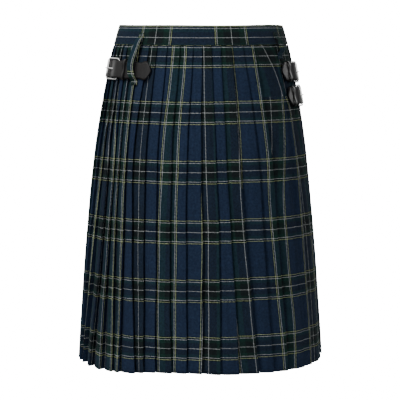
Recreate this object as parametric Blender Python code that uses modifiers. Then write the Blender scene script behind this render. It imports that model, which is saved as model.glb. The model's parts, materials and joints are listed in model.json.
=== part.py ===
"""A knife-pleated kilt, standing hollow as it is worn.

Metres, +Z up. The back of the garment faces -Y, and +X is the wearer's right.
The origin is the middle of the waist, level with the band's top edge.
An angle runs round the body from the middle of the back: 0 is the back, 90 is
the wearer's right hip, 180 is the front and -90 is the wearer's left hip.
"Drop" is the distance down from the waist's top edge, and "out" is the distance
outwards from the surface on which the pleats' folds lie.
"""
import math

import bmesh
import bpy
import numpy as np
from mathutils import Matrix, Vector

MM = 0.001

# Driving sizes
LENGTH = 610 * MM
BAND_HEIGHT = 34 * MM
FRONT_DIP = 10 * MM
SEAM_GAP = 0.3 * MM
BAND_THICK = 2.0 * MM
APRON_THICK = 1.5 * MM
PLEAT_THICK = 1.2 * MM
PANEL_SET_BACK = 1.0 * MM

# Where the wrapped cloth begins and ends, as angles round the body.
# One turn is the over apron and the pleats; the under apron carries on inside.
OVER_EDGE = 98.0
LEFT_SEAM = 256.0
RIGHT_SEAM = 464.0
UNDER_EDGE = 606.0
APRON_LIFT = 4.0 * MM
UNDER_SINK = 5.0 * MM
HEM_SPREAD = 3.0 * MM

# The form the kilt hangs on: half its width, and its reach to back and front.
#        drop    half   back   front
FORM = (
    (0.000, 0.1480, 0.1100, 0.1000),
    (0.010, 0.1510, 0.1120, 0.1020),
    (0.020, 0.1535, 0.1150, 0.1040),
    (0.034, 0.1580, 0.1190, 0.1070),
    (0.050, 0.1622, 0.1220, 0.1100),
    (0.075, 0.1668, 0.1270, 0.1140),
    (0.125, 0.1762, 0.1340, 0.1190),
    (0.200, 0.1880, 0.1435, 0.1270),
    (0.300, 0.1985, 0.1505, 0.1360),
    (0.400, 0.2075, 0.1570, 0.1430),
    (0.500, 0.2145, 0.1680, 0.1490),
    (0.560, 0.2185, 0.1780, 0.1530),
    (0.610, 0.2215, 0.1830, 0.1560),
)
# How far apart the points are that give the form's slope
SLOPE_ANGLE = 0.5
SLOPE_DROP = 15 * MM
FORM_DROP, FORM_HALF, FORM_BACK, FORM_FRONT = (np.array(c) for c in zip(*FORM))

# The pleats, from the wearer's left to right: the angle of each fold at four
# drops, and at the hem how deep the fold's hidden part goes and how far it
# tucks back under the face beside it, both in millimetres.
FOLD_DROPS = (0.050, 0.200, 0.415, LENGTH)
#    waist   seat    knee    hem    deep  tuck
PLEATS = (
    (-92.0, -91.0, -93.0, -94.0, 9.0, 5.0),
    (-82.0, -82.0, -85.5, -86.0, 10.0, 4.5),
    (-73.5, -73.5, -75.5, -77.0, 10.0, 4.5),
    (-66.0, -65.5, -66.0, -68.0, 11.0, 4.5),
    (-60.5, -59.0, -58.5, -60.5, 10.5, 5.0),
    (-55.0, -53.5, -52.0, -53.5, 10.0, 5.5),
    (-49.0, -48.0, -46.5, -47.0, 9.0, 5.5),
    (-43.0, -42.5, -41.0, -41.0, 9.0, 6.0),
    (-35.5, -37.0, -35.5, -32.0, 12.0, 8.0),
    (-28.0, -30.5, -29.0, -27.5, 8.0, 5.5),
    (-20.5, -23.0, -22.0, -21.0, 8.0, 8.0),
    (-13.0, -15.0, -15.0, -13.5, 8.0, 9.0),
    (-5.5, -7.0, -7.0, -6.5, 8.0, 9.0),
    (1.0, 0.5, 1.0, 1.0, 8.0, 9.0),
    (7.0, 7.5, 9.0, 9.0, 9.0, 10.0),
    (13.0, 14.0, 16.0, 18.0, 9.0, 10.0),
    (20.5, 21.5, 24.5, 27.0, 9.0, 10.0),
    (28.5, 31.0, 33.5, 36.0, 9.0, 10.0),
    (37.5, 41.0, 42.5, 45.0, 8.0, 10.0),
    (46.0, 51.0, 53.0, 55.5, 8.0, 10.0),
    (56.0, 61.0, 64.0, 65.5, 7.0, 10.0),
    (67.0, 71.5, 77.0, 78.0, 7.0, 10.0),
    (81.0, 83.0, 90.0, 91.0, 7.0, 9.0),
)
TOP_DEEP = 3.8 * MM
TOP_TUCK = 6.0 * MM
PLEAT_DROPS = (BAND_HEIGHT + SEAM_GAP, 0.050, 0.075, 0.105, 0.140, 0.200, 0.270,
               0.340, 0.415, 0.480, 0.545, LENGTH)
# A face is bowed: it rises early from under its neighbour, then runs out flat.
FACE_STOPS = ((0.30, 0.52), (0.62, 0.16))

# Drape of the plain front: three soft waves that grow towards the hem.
DRAPE_WAVES = 3
DRAPE_DEEP = 5 * MM
APRON_DROPS = (BAND_HEIGHT + SEAM_GAP, 0.062, 0.098, 0.160, 0.240, 0.340, 0.440,
               0.530, LENGTH)
APRON_STEP = 6.5

# A turn of a wall's path sharper than this is rounded; 2 is straight on, 0 is back
SHARP_TURN = 1.2

# Leather straps and buckles
STRAP_WIDE = 32 * MM
LEATHER = 2.0 * MM
CHAPE_WIDE = 37 * MM
CHAPE_NECK = 28 * MM
CHAPE_THICK = 1.2 * MM
CHAPE_LONG = 28 * MM
KEEPER_WIDE = 7 * MM
KEEPER_THICK = 1.2 * MM
EASE = 0.3 * MM
KEEPER_AT = 15 * MM
WIRE_R = 1.5 * MM
ROLLER_R = 2.8 * MM
ROLLER_HOLE_R = 1.8 * MM
FRAME_LONG = 33 * MM
FRAME_HALF_HIGH = 18.5 * MM
FRAME_CORNER_R = 2.5 * MM
PRONG_R = 1.3 * MM
PRONG_EYE_R = 2.8 * MM
TIP_LONG = 9 * MM
TIP_HALF = 1.5 * MM
STRAP_STEP = 8 * MM
CUT_OUT = (-1 * MM, 14 * MM)
PRONG_HOLE = (-17.5 * MM, -0.5 * MM)
PRONG_NOTCH = (-8 * MM, 5 * MM)
PRONG_EASE = 0.8 * MM

# How a strap climbs over the heel bar, and how it comes down on the tab again:
# millimetres towards the tip from the heel bar, share of the climb
HEEL_CLIMB = ((-24, 0.06), (-18, 0.28), (-12, 0.60), (-6, 0.88), (-1, 1.0), (3, 0.93))
HEEL_FALL = ((8, 0.33), (12, 0.0))
# Where the strap has its further sections, on the tab and past it
TAB_STOPS = (22 * MM, 31 * MM)
TAIL_STOPS = (38 * MM, 46 * MM, 54 * MM)
TIP_ROOM = 4 * MM
# How the left strap comes out by its slit: millimetres past the seam, share out
SLIT_PASS = ((-13.0, 0.0), (-10.5, 0.09), (-2.5, 0.91), (1.0, 1.0))
# How far from the over apron's edge the right straps leave it and reach the pleats
EDGE_LEAVE = 3.5 * MM
EDGE_REACH = 12 * MM

# The tab round the heel bar: its straight stretches and its turn, in degrees
TAB_LOW = (CHAPE_LONG, 22 * MM, 11 * MM, 2 * MM)
TAB_TURN = (235, 205, 175, 145, 115, 85, 60)
TAB_HIGH = (11 * MM, 22 * MM, CHAPE_LONG)
TAB_SHOULDER = (5.5 * MM, 1.2 * MM)
TAB_NECK_LONG = 7 * MM
KEEPER_CORNER = 1.5 * MM

# The prong's finger: how far it is from the heel bar, its top and its underside
SHANK_AT = 9 * MM
SHANK_TOP = 3.4 * MM
SHANK_UNDER = 1.0 * MM
EYE_TOP = (2.0 * MM, 2.4 * MM)
EYE_UNDER = (2.9 * MM, 0.2 * MM)
NECK_BEFORE_ROLLER = 8 * MM
NECK_DIP = 0.5 * MM
POINT_PAST_ROLLER = 3.5 * MM

# Each strap: its node's ending, the side its tip points away from, the angle of
# the buckle's heel bar, the drop there, the rise towards the tip, the length of
# the free end past the heel bar, and where its other end is sewn.
#    name          turn  heel   drop   slope  free   root angle
STRAPS = (
    ("left", 1, -60.0, 0.080, -0.02, 0.072, -118.0),
    ("right_upper", -1, 75.0, 0.084, 0.05, 0.034, 122.0),
    ("right_lower", -1, 75.5, 0.1275, 0.00, 0.030, 122.0),
)

# Belt loops: name, angle, first and last drop, stand-off, sideways slack
LOOP_WIDE = 13 * MM
LOOP_THICK = 1.2 * MM
LOOPS = (
    ("belt_loop_left", -43.5, 0.018, 0.110, 12.0 * MM, -2 * MM),
    ("belt_loop_right", 61.5, 0.012, 0.060, 10.5 * MM, 1 * MM),
)
LOOP_SEWN = 9 * MM
LOOP_BEND = 3 * MM
LOOP_SHOULDER = 5.6 * MM
LOOP_EASE = 0.3 * MM
# The loop's free stretch: share of its length, share of its stand-off
LOOP_BOW = ((0.32, 0.93), (0.50, 1.0), (0.70, 0.97))

# The slit beside the left seam that the under apron's strap comes out by
SLIT_LONG = 17 * MM
SLIT_MARGIN = 2 * MM
SLIT_PAST = 1 * MM
SLIT_OUT = (-2.6 * MM, 6 * MM)

LOOKS = {
    "cloth": ((0.030, 0.052, 0.085), 0.85, 0.0),
    "leather": ((0.020, 0.018, 0.017), 0.45, 0.0),
    "steel": ((0.75, 0.75, 0.74), 0.25, 1.0),
}


def clear_scene():
    for thing in list(bpy.data.objects):
        bpy.data.objects.remove(thing)


def collection(name):
    group = bpy.data.collections.new(name)
    bpy.context.scene.collection.children.link(group)
    return group


def paint(thing, look):
    colour, roughness, metallic = LOOKS[look]
    material = bpy.data.materials.new(thing.name)
    material.use_nodes = True
    shader = material.node_tree.nodes["Principled BSDF"]
    shader.inputs["Base Color"].default_value = (*colour, 1.0)
    shader.inputs["Roughness"].default_value = roughness
    shader.inputs["Metallic"].default_value = metallic
    thing.data.materials.clear()
    thing.data.materials.append(material)


def mesh_object(name, bm, look, group):
    bmesh.ops.recalc_face_normals(bm, faces=bm.faces)
    if bm.calc_volume(signed=True) < 0:
        bmesh.ops.reverse_faces(bm, faces=bm.faces)
    mesh = bpy.data.meshes.new(name)
    bm.to_mesh(mesh)
    bm.free()
    thing = bpy.data.objects.new(name, mesh)
    group.objects.link(thing)
    paint(thing, look)
    return thing


# The form that the cloth hangs on
def form_at(drop):
    half = float(np.interp(drop, FORM_DROP, FORM_HALF))
    back = float(np.interp(drop, FORM_DROP, FORM_BACK))
    front = float(np.interp(drop, FORM_DROP, FORM_FRONT))
    return half, back, front


def height(angle, drop):
    """The waist is level at the back and dips at the front; the hem is level."""
    forward = (1 - math.cos(math.radians(angle))) / 2
    return -drop - FRONT_DIP * forward ** 2 * (1 - drop / LENGTH)


def ring_point(angle, drop, out=0.0):
    """A point of the form, moved level outwards."""
    half, back, front = form_at(drop)
    turn = math.radians(angle)
    reach = back if math.cos(turn) > 0 else front
    spot = Vector((half * math.sin(turn), -reach * math.cos(turn)))
    normal = Vector((math.sin(turn) / half, -math.cos(turn) / reach)).normalized()
    return spot + normal * out


def skin_point(angle, drop, out):
    """A point of the form in space, moved out square to its sloping surface."""
    def at(a, d):
        flat = ring_point(a, d)
        return Vector((flat.x, flat.y, height(a, d)))
    here = at(angle, drop)
    across = at(angle + SLOPE_ANGLE, drop) - at(angle - SLOPE_ANGLE, drop)
    down = at(angle, drop + SLOPE_DROP) - at(angle, drop - SLOPE_DROP)
    return here + down.cross(across).normalized() * out


def angle_after(angle, drop, way):
    """The angle reached by going a distance round the form from an angle."""
    step = 0.25 if way > 0 else -0.25
    left = abs(way)
    spot = ring_point(angle, drop)
    while True:
        ahead = ring_point(angle + step, drop)
        part = (ahead - spot).length
        if part >= left:
            return angle + step * left / part
        left -= part
        angle += step
        spot = ahead


def way_between(first, last, drop):
    """The distance round the form between two angles."""
    stops = np.linspace(first, last, 60)
    spots = [ring_point(a, drop) for a in stops]
    total = sum((b - a).length for a, b in zip(spots, spots[1:]))
    return math.copysign(total, last - first)


# Walls: a path with thickness, lofted through sections
def wall_sides(path, half):
    """Both sides of a flat path. A sharp turn is rounded on its outer side by
    three points and mitred on its inner side. Gives, for each point of the path,
    the points on the right of the way it runs and the points on the left."""
    stations = []
    last = len(path) - 1
    for i, spot in enumerate(path):
        ahead = (path[min(i + 1, last)] - path[min(i, last - 1)]).normalized()
        behind = (path[max(i, 1)] - path[max(i - 1, 0)]).normalized()
        n_in = Vector((behind.y, -behind.x))
        n_out = Vector((ahead.y, -ahead.x))
        level = 1 + n_in.dot(n_out)
        mitre = (n_in + n_out) * (half / level)
        if level > SHARP_TURN:
            stations.append(([spot + mitre], [spot - mitre]))
            continue
        tip = (behind - ahead).normalized() * half
        turn_left = behind.x * ahead.y - behind.y * ahead.x > 0
        if turn_left:
            wide = [spot + n_in * half, spot + tip, spot + n_out * half]
            stations.append((wide, [spot - mitre]))
        else:
            wide = [spot - n_in * half, spot + tip, spot - n_out * half]
            stations.append(([spot + mitre], wide))
    return stations


def loft_wall(bm, sections):
    """Joins like sections, each a list of stations with points on both sides,
    into one closed wall."""
    rows = []
    for stations in sections:
        right = [bm.verts.new(p) for station in stations for p in station[0]]
        left = [bm.verts.new(p) for station in stations for p in station[1]]
        rows.append((right, left))
    for (r0, l0), (r1, l1) in zip(rows, rows[1:]):
        for a, b in ((r0, r1), (l0, l1)):
            for i in range(len(a) - 1):
                bm.faces.new((a[i], a[i + 1], b[i + 1], b[i]))
        for end in (0, -1):
            bm.faces.new((r0[end], l0[end], l1[end], r1[end]))
    for (right, left), stations in ((rows[0], sections[0]), (rows[-1], sections[-1])):
        pairs = []
        r = l = 0
        for on_right, on_left in stations:
            for k in range(max(len(on_right), len(on_left))):
                i = r + min(k, len(on_right) - 1)
                j = l + min(k, len(on_left) - 1)
                pairs.append((right[i], left[j]))
            r += len(on_right)
            l += len(on_left)
        for (a, b), (c, d) in zip(pairs, pairs[1:]):
            corners = [a] + [v for v in (c, d) if v is not a and v is not b] + [b]
            if len(set(corners)) > 2:
                bm.faces.new(corners)


def level_sections(path_at, drops, half):
    """Sections of a hanging wall. path_at gives angles and outs for a drop."""
    sections = []
    for drop in drops:
        stops = path_at(drop)
        flat = [ring_point(angle, drop, out) for angle, out in stops]
        section = []
        for (angle, out), (right, left) in zip(stops, wall_sides(flat, half)):
            z = height(angle, drop)
            section.append(([Vector((*p, z)) for p in right],
                            [Vector((*p, z)) for p in left]))
        sections.append(section)
    return sections


def hanging_wall(name, path_at, drops, thick, look, group):
    bm = bmesh.new()
    loft_wall(bm, level_sections(path_at, drops, thick / 2))
    return mesh_object(name, bm, look, group)


def ribbon(name, path, spans, thick, where, look, group):
    """A strip whose flat path is (u, out). spans gives its side limits at each
    point of the path, and where(u, out, v) puts a point in space."""
    stations = wall_sides([Vector(p) for p in path], thick / 2)
    bm = bmesh.new()
    sections = []
    for side in (0, 1):
        section = []
        for (right, left), span in zip(stations, spans):
            section.append(([where(*p, span[side]) for p in right],
                            [where(*p, span[side]) for p in left]))
        sections.append(section)
    loft_wall(bm, sections)
    return mesh_object(name, bm, look, group)


# Cloth
def wrap_out(angle, drop):
    """How far the wrapped cloth stands out or in, all the way along its length."""
    spread = HEM_SPREAD * drop / LENGTH
    if angle < LEFT_SEAM:
        share = (LEFT_SEAM - angle) / (LEFT_SEAM - OVER_EDGE)
        return (APRON_LIFT + spread) * share - PANEL_SET_BACK
    if angle > RIGHT_SEAM:
        share = (angle - RIGHT_SEAM) / (UNDER_EDGE - RIGHT_SEAM)
        return -(UNDER_SINK + spread) * share - PANEL_SET_BACK
    return -PANEL_SET_BACK


def drape(angle, drop):
    """Waves of the plain front, still at the band and at both hips."""
    share = (angle % 360 - OVER_EDGE) / (LEFT_SEAM - OVER_EDGE)
    if not 0 < share < 1:
        return 0.0
    fade = math.sin(math.pi * share) * (drop / LENGTH) ** 1.5
    return DRAPE_DEEP * fade * math.sin(2 * math.pi * DRAPE_WAVES * share + 0.6)


def stops_between(first, last, step):
    count = max(1, round((last - first) / step))
    return [first + (last - first) * i / count for i in range(count + 1)]


def make_waistband(group):
    def path_at(drop):
        return [(a, wrap_out(a, 0.0)) for a in stops_between(OVER_EDGE, UNDER_EDGE, 7)]
    drops = (0.0, BAND_HEIGHT / 2, BAND_HEIGHT)
    return hanging_wall("waistband", path_at, drops, BAND_THICK, "cloth", group)


def make_apron(name, first, last, group):
    def path_at(drop):
        stops = stops_between(first, last, APRON_STEP)
        return [(a, wrap_out(a, drop) + drape(a, drop)) for a in stops]
    return hanging_wall(name, path_at, APRON_DROPS, APRON_THICK, "cloth", group)


def seam_angle(angle, drop, way):
    """An angle moved by half a seam's gap."""
    return angle_after(angle, drop, way * SEAM_GAP / 2)


def pleat_path(drop):
    """The zigzag of the pleats at a drop: each face runs out to its fold, turns
    back under itself, and turns again into the next face."""
    fall = min(1.0, max(0.0, (drop - BAND_HEIGHT) / (LENGTH - BAND_HEIGHT)))
    opened = fall ** 0.7
    stops = [(seam_angle(LEFT_SEAM - 360, drop, 1), -PANEL_SET_BACK)]
    start_deep = PANEL_SET_BACK
    for row in PLEATS:
        fold = float(np.interp(drop, FOLD_DROPS, row[:4]))
        deep = TOP_DEEP + (row[4] * MM - TOP_DEEP) * opened
        tuck = TOP_TUCK + (row[5] * MM - TOP_TUCK) * opened
        start = stops[-1][0]
        for share, sunk in FACE_STOPS:
            stops.append((start + (fold - start) * share, -start_deep * sunk))
        stops.append((fold, 0.0))
        stops.append((angle_after(fold, drop, -tuck), -deep))
        start_deep = deep
    end = seam_angle(RIGHT_SEAM - 360, drop, -1)
    start = stops[-1][0]
    for share, sunk in FACE_STOPS:
        stops.append((start + (end - start) * share, -start_deep * sunk))
    stops.append((end, -PANEL_SET_BACK))
    return stops


def make_pleats(group):
    return hanging_wall("pleated_back", pleat_path, PLEAT_DROPS, PLEAT_THICK,
                        "cloth", group)


def make_belt_loop(name, angle, first, last, stand_off, slack, group):
    seat = PLEAT_THICK / 2 + SEAM_GAP + LOOP_THICK / 2
    bow = [(first + share * (last - first), stand_off * rise) for share, rise in LOOP_BOW]
    #        drop, then out
    path = (
        (first, seat),
        (first + LOOP_SEWN, seat + LOOP_EASE),
        (first + LOOP_SEWN + LOOP_BEND, LOOP_SHOULDER),
        *bow,
        (last - LOOP_SEWN - LOOP_BEND, LOOP_SHOULDER),
        (last - LOOP_SEWN, seat + LOOP_EASE),
        (last, seat),
    )

    def where(drop, out, side):
        swell = math.sin(math.pi * (drop - first) / (last - first)) ** 2
        turned = angle_after(angle, drop, side + slack * swell)
        return skin_point(turned, drop, out)
    spans = [(-LOOP_WIDE / 2, LOOP_WIDE / 2)] * len(path)
    return ribbon(name, path, spans, LOOP_THICK, where, "cloth", group)


# Straps and buckles
class Seat:
    """The place of one strap. "Along" runs from the heel bar towards the tip."""

    def __init__(self, turn, heel, drop, slope):
        self.turn, self.heel, self.drop, self.slope = turn, heel, drop, slope

    def at(self, along, out, down):
        drop = self.drop + down - self.slope * along
        way = self.turn * (along + self.slope * down)
        return skin_point(angle_after(self.heel, self.drop, way), drop, out)

    def way_to(self, angle):
        return self.turn * way_between(self.heel, angle, self.drop)


CLOTH_TOP = PLEAT_THICK / 2 + SEAM_GAP
HEEL_OUT = CLOTH_TOP + CHAPE_THICK + SEAM_GAP + EASE + WIRE_R
EYE_R = WIRE_R + SEAM_GAP + EASE + CHAPE_THICK / 2
STRAP_ON_CLOTH = CLOTH_TOP + LEATHER / 2 + EASE
STRAP_ON_CHAPE = CLOTH_TOP + 2 * CHAPE_THICK + 2 * SEAM_GAP + LEATHER / 2
STRAP_OVER_HEEL = HEEL_OUT + EYE_R + CHAPE_THICK / 2 + SEAM_GAP + LEATHER / 2
ROLLER_OUT = STRAP_ON_CLOTH + LEATHER / 2 + SEAM_GAP + EASE + ROLLER_R


def strap_path(seat, name, free, root):
    """The strap from its sewn root to its tip, as (along, out, half width)."""
    half = STRAP_WIDE / 2
    end = seat.way_to(root)
    if name == "left":
        seam = seat.way_to(LEFT_SEAM - 360)
        inside = -PANEL_SET_BACK - APRON_THICK / 2 - SEAM_GAP - LEATHER / 2 - EASE
        rows = [(end, inside, half)]
        for past, share in SLIT_PASS:
            rows.append((seam + past * MM, inside + (STRAP_ON_CLOTH - inside) * share, half))
    else:
        edge = seat.way_to(OVER_EDGE)
        lift = wrap_out(OVER_EDGE, seat.drop) + APRON_THICK / 2 + SEAM_GAP + LEATHER / 2 + EASE
        rows = [(way, lift, half) for way in stops_between(end, edge + EDGE_LEAVE, STRAP_STEP)]
        rows.append((edge + EDGE_REACH, STRAP_ON_CLOTH, half))
    stops = stops_between(rows[-1][0], -FRAME_LONG + 1 * MM, STRAP_STEP)
    rows += [(way, STRAP_ON_CLOTH, half) for way in stops[1:]]
    for low, passage in ((STRAP_ON_CLOTH, HEEL_CLIMB), (STRAP_ON_CHAPE, HEEL_FALL)):
        rise = STRAP_OVER_HEEL - low
        rows += [(way * MM, low + rise * share, half) for way, share in passage]
    shoulder = free - TIP_LONG
    rows += [(way, STRAP_ON_CHAPE, half) for way in TAB_STOPS if way < shoulder - TIP_ROOM]
    tail = STRAP_ON_CHAPE
    if shoulder > CHAPE_LONG:
        tail = STRAP_ON_CLOTH + EASE
        rows += [(way, tail, half) for way in TAIL_STOPS]
    rows.append((shoulder, tail, half))
    rows.append((free, tail, TIP_HALF))
    return rows


def cut(thing, cutter):
    """Cuts a hole in a mesh and keeps it as a modifier."""
    cutter.hide_render = True
    cutter.display_type = "WIRE"
    hole = thing.modifiers.new("cut " + cutter.name, "BOOLEAN")
    hole.operation = "DIFFERENCE"
    hole.solver = "EXACT"
    hole.object = cutter


def box_on(name, seat, along, out, half_down, group):
    """A block between two ways along, two outs and two sides of a strap's seat."""
    bm = bmesh.new()
    bmesh.ops.create_cube(bm, size=2.0)
    for vert in bm.verts:
        s = along[0] if vert.co.x < 0 else along[1]
        t = out[0] if vert.co.y < 0 else out[1]
        vert.co = seat.at(s, t, half_down * vert.co.z)
    return mesh_object(name, bm, "leather", group)


def make_strap(seat, name, free, root, group, cutters):
    rows = strap_path(seat, name, free, root)
    path = [(along, out) for along, out, half in rows]
    spans = [(-half, half) for along, out, half in rows]
    strap = ribbon("strap_" + name, path, spans, LEATHER, seat.at, "leather", group)
    hole = box_on("hole " + name, seat, PRONG_HOLE, CUT_OUT, PRONG_R + PRONG_EASE, cutters)
    cut(strap, hole)
    return strap


def make_chape(seat, name, group, cutters):
    """The tab that holds the buckle: one strip folded round the heel bar."""
    low = CLOTH_TOP + CHAPE_THICK / 2
    high = low + CHAPE_THICK + SEAM_GAP
    path = [(along, low) for along in TAB_LOW]
    for turn in TAB_TURN:
        a = math.radians(turn)
        path.append((EYE_R * math.cos(a), HEEL_OUT + EYE_R * math.sin(a)))
    path.append((TAB_SHOULDER[0], high + TAB_SHOULDER[1]))
    path += [(along, high) for along in TAB_HIGH]
    spans = []
    for along, out in path:
        half = CHAPE_WIDE / 2 if along > TAB_NECK_LONG else CHAPE_NECK / 2
        spans.append((-half, half))
    chape = ribbon("chape_" + name, path, spans, CHAPE_THICK, seat.at, "leather", group)
    notch = box_on("notch " + name, seat, PRONG_NOTCH, CUT_OUT, PRONG_R + PRONG_EASE, cutters)
    cut(chape, notch)
    return chape


def make_keeper(seat, name, group):
    """A narrow leather arch over the strap, with its feet on the cloth."""
    side = CHAPE_WIDE / 2 + SEAM_GAP + KEEPER_THICK / 2
    top = STRAP_ON_CHAPE + LEATHER / 2 + SEAM_GAP + KEEPER_THICK / 2
    foot = CLOTH_TOP
    corner = KEEPER_CORNER
    path = [(-side, foot), (-side, top - corner), (-side + corner, top), (0, top),
            (side - corner, top), (side, top - corner), (side, foot)]

    def where(down, out, along):
        return seat.at(along, out, down)
    spans = [(KEEPER_AT, KEEPER_AT + KEEPER_WIDE)] * len(path)
    return ribbon("keeper_" + name, path, spans, KEEPER_THICK, where, "leather", group)


def buckle_axes(seat):
    """The middles of the heel bar and the front bar, and the way down between."""
    heel = seat.at(0.0, HEEL_OUT, 0.0)
    front = seat.at(-FRAME_LONG, ROLLER_OUT, 0.0)
    down = seat.at(0.0, HEEL_OUT, STRAP_WIDE / 2) - seat.at(0.0, HEEL_OUT, -STRAP_WIDE / 2)
    forward = (front - heel).normalized()
    down = (down - forward * down.dot(forward)).normalized()
    return heel, front, forward, down


def make_frame(seat, name, group):
    """A rounded oblong of wire."""
    heel, front, forward, down = buckle_axes(seat)
    reach = (front - heel).length
    r = FRAME_CORNER_R
    points = []
    corners = ((reach - r, FRAME_HALF_HIGH - r, 0), (r, FRAME_HALF_HIGH - r, 90),
               (r, -FRAME_HALF_HIGH + r, 180), (reach - r, -FRAME_HALF_HIGH + r, 270))
    for x, y, start in corners:
        for turn in (0, 30, 60, 90):
            a = math.radians(start + turn)
            spot = heel + forward * (x + r * math.cos(a)) + down * (y + r * math.sin(a))
            points.append(spot)
    curve = bpy.data.curves.new("frame " + name, "CURVE")
    curve.dimensions = "3D"
    spline = curve.splines.new("POLY")
    spline.points.add(len(points) - 1)
    for point, spot in zip(spline.points, points):
        point.co = (*spot, 1.0)
    spline.use_cyclic_u = True
    curve.bevel_depth = WIRE_R
    curve.bevel_resolution = 2
    frame = bpy.data.objects.new("buckle_frame_" + name, curve)
    group.objects.link(frame)
    paint(frame, "steel")
    return frame


def make_roller(seat, name, group):
    """A tube that turns on the buckle's front bar, made by a Screw."""
    heel, front, forward, down = buckle_axes(seat)
    half = FRAME_HALF_HIGH - FRAME_CORNER_R - 0.5 * MM
    bm = bmesh.new()
    profile = ((ROLLER_R, half), (ROLLER_R, -half), (ROLLER_HOLE_R, -half), (ROLLER_HOLE_R, half))
    verts = [bm.verts.new((x, 0.0, z)) for x, z in profile]
    for a, b in zip(verts, verts[1:] + verts[:1]):
        bm.edges.new((a, b))
    mesh = bpy.data.meshes.new("roller " + name)
    bm.to_mesh(mesh)
    bm.free()
    roller = bpy.data.objects.new("roller_" + name, mesh)
    group.objects.link(roller)
    spin = roller.modifiers.new("turned", "SCREW")
    spin.steps = 16
    spin.render_steps = 16
    spin.use_merge_vertices = True
    spin.merge_threshold = 0.00001
    side = forward.cross(down).normalized()
    axes = Matrix((forward, side, down)).transposed()
    if axes.determinant() < 0:
        axes = Matrix((forward, -side, down)).transposed()
    roller.matrix_world = Matrix.Translation(front) @ axes.to_4x4()
    paint(roller, "steel")
    return roller


def make_prong(seat, name, group):
    """A flat outline in the plane square to the bars: an eye on the heel bar and
    a finger that rises through the strap and lies on the roller."""
    heel, front, forward, down = buckle_axes(seat)
    rise = down.cross(forward).normalized()
    if rise.dot(seat.at(0.0, HEEL_OUT + MM, 0.0) - heel) < 0:
        rise = -rise
    reach = (front - heel).length
    over = ROLLER_R + SEAM_GAP
    high = over + 2 * PRONG_R
    neck = reach - NECK_BEFORE_ROLLER
    end = reach + POINT_PAST_ROLLER
    #   forward from the heel bar, rise from the plane of the frame
    top = [EYE_TOP, (SHANK_AT, SHANK_TOP), (neck, high - NECK_DIP), (reach, high),
           (end, over + PRONG_R)]
    under = [(end, over), (neck, over - NECK_DIP), (SHANK_AT, SHANK_UNDER), EYE_UNDER]
    outline = []
    for turn in range(0, -290, -30):
        a = math.radians(turn - 5)
        outline.append((PRONG_EYE_R * math.cos(a), PRONG_EYE_R * math.sin(a)))
    outline += top + under
    curve = bpy.data.curves.new("prong " + name, "CURVE")
    curve.dimensions = "2D"
    curve.fill_mode = "BOTH"
    curve.extrude = PRONG_R
    hole_r = WIRE_R + SEAM_GAP
    hole = [(hole_r * math.cos(math.radians(t)), hole_r * math.sin(math.radians(t)))
            for t in range(0, 360, 30)]
    for ring in (outline, hole):
        spline = curve.splines.new("POLY")
        spline.points.add(len(ring) - 1)
        for point, (x, y) in zip(spline.points, ring):
            point.co = (x, y, 0.0, 1.0)
        spline.use_cyclic_u = True
    prong = bpy.data.objects.new("prong_" + name, curve)
    group.objects.link(prong)
    third = forward.cross(rise).normalized()
    axes = Matrix((forward, rise, third)).transposed()
    prong.matrix_world = Matrix.Translation(heel) @ axes.to_4x4()
    paint(prong, "steel")
    return prong


def make_slit(apron, seat, cutters):
    """Opens the over apron beside the left seam for the under apron's strap."""
    seam = seat.way_to(LEFT_SEAM - 360)
    half = STRAP_WIDE / 2 + SLIT_MARGIN
    slit = box_on("slit", seat, (seam - SLIT_LONG, seam + SLIT_PAST), SLIT_OUT, half, cutters)
    cut(apron, slit)


def main():
    clear_scene()
    group = collection("kilt")
    cutters = collection("cutters")
    make_waistband(group)
    make_pleats(group)
    drop = BAND_HEIGHT
    over = make_apron("over_apron", OVER_EDGE, seam_angle(LEFT_SEAM, drop, -1), group)
    make_apron("under_apron", seam_angle(RIGHT_SEAM, drop, 1), UNDER_EDGE, group)
    for row in LOOPS:
        make_belt_loop(*row, group)
    for name, turn, heel, drop, slope, free, root in STRAPS:
        seat = Seat(turn, heel, drop, slope)
        make_strap(seat, name, free, root, group, cutters)
        make_chape(seat, name, group, cutters)
        make_keeper(seat, name, group)
        make_frame(seat, name, group)
        make_roller(seat, name, group)
        make_prong(seat, name, group)
        if name == "left":
            make_slit(over, seat, cutters)


main()
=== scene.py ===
# %% [markdown]
# # A pleated kilt, standing as it is worn
# A kilt is one long strip of tartan. Two plain ends, the aprons, wrap over each other
# at the front, and everything between them is pressed into knife pleats across the
# back. A waistband, two belt loops and three buckled straps hold it. The solids that
# are loaded first fix every size. This lesson makes the cloth, leather and metal that
# are seen over them, in the same places.

# %% Start from the fixed frame
import json
import math

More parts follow.
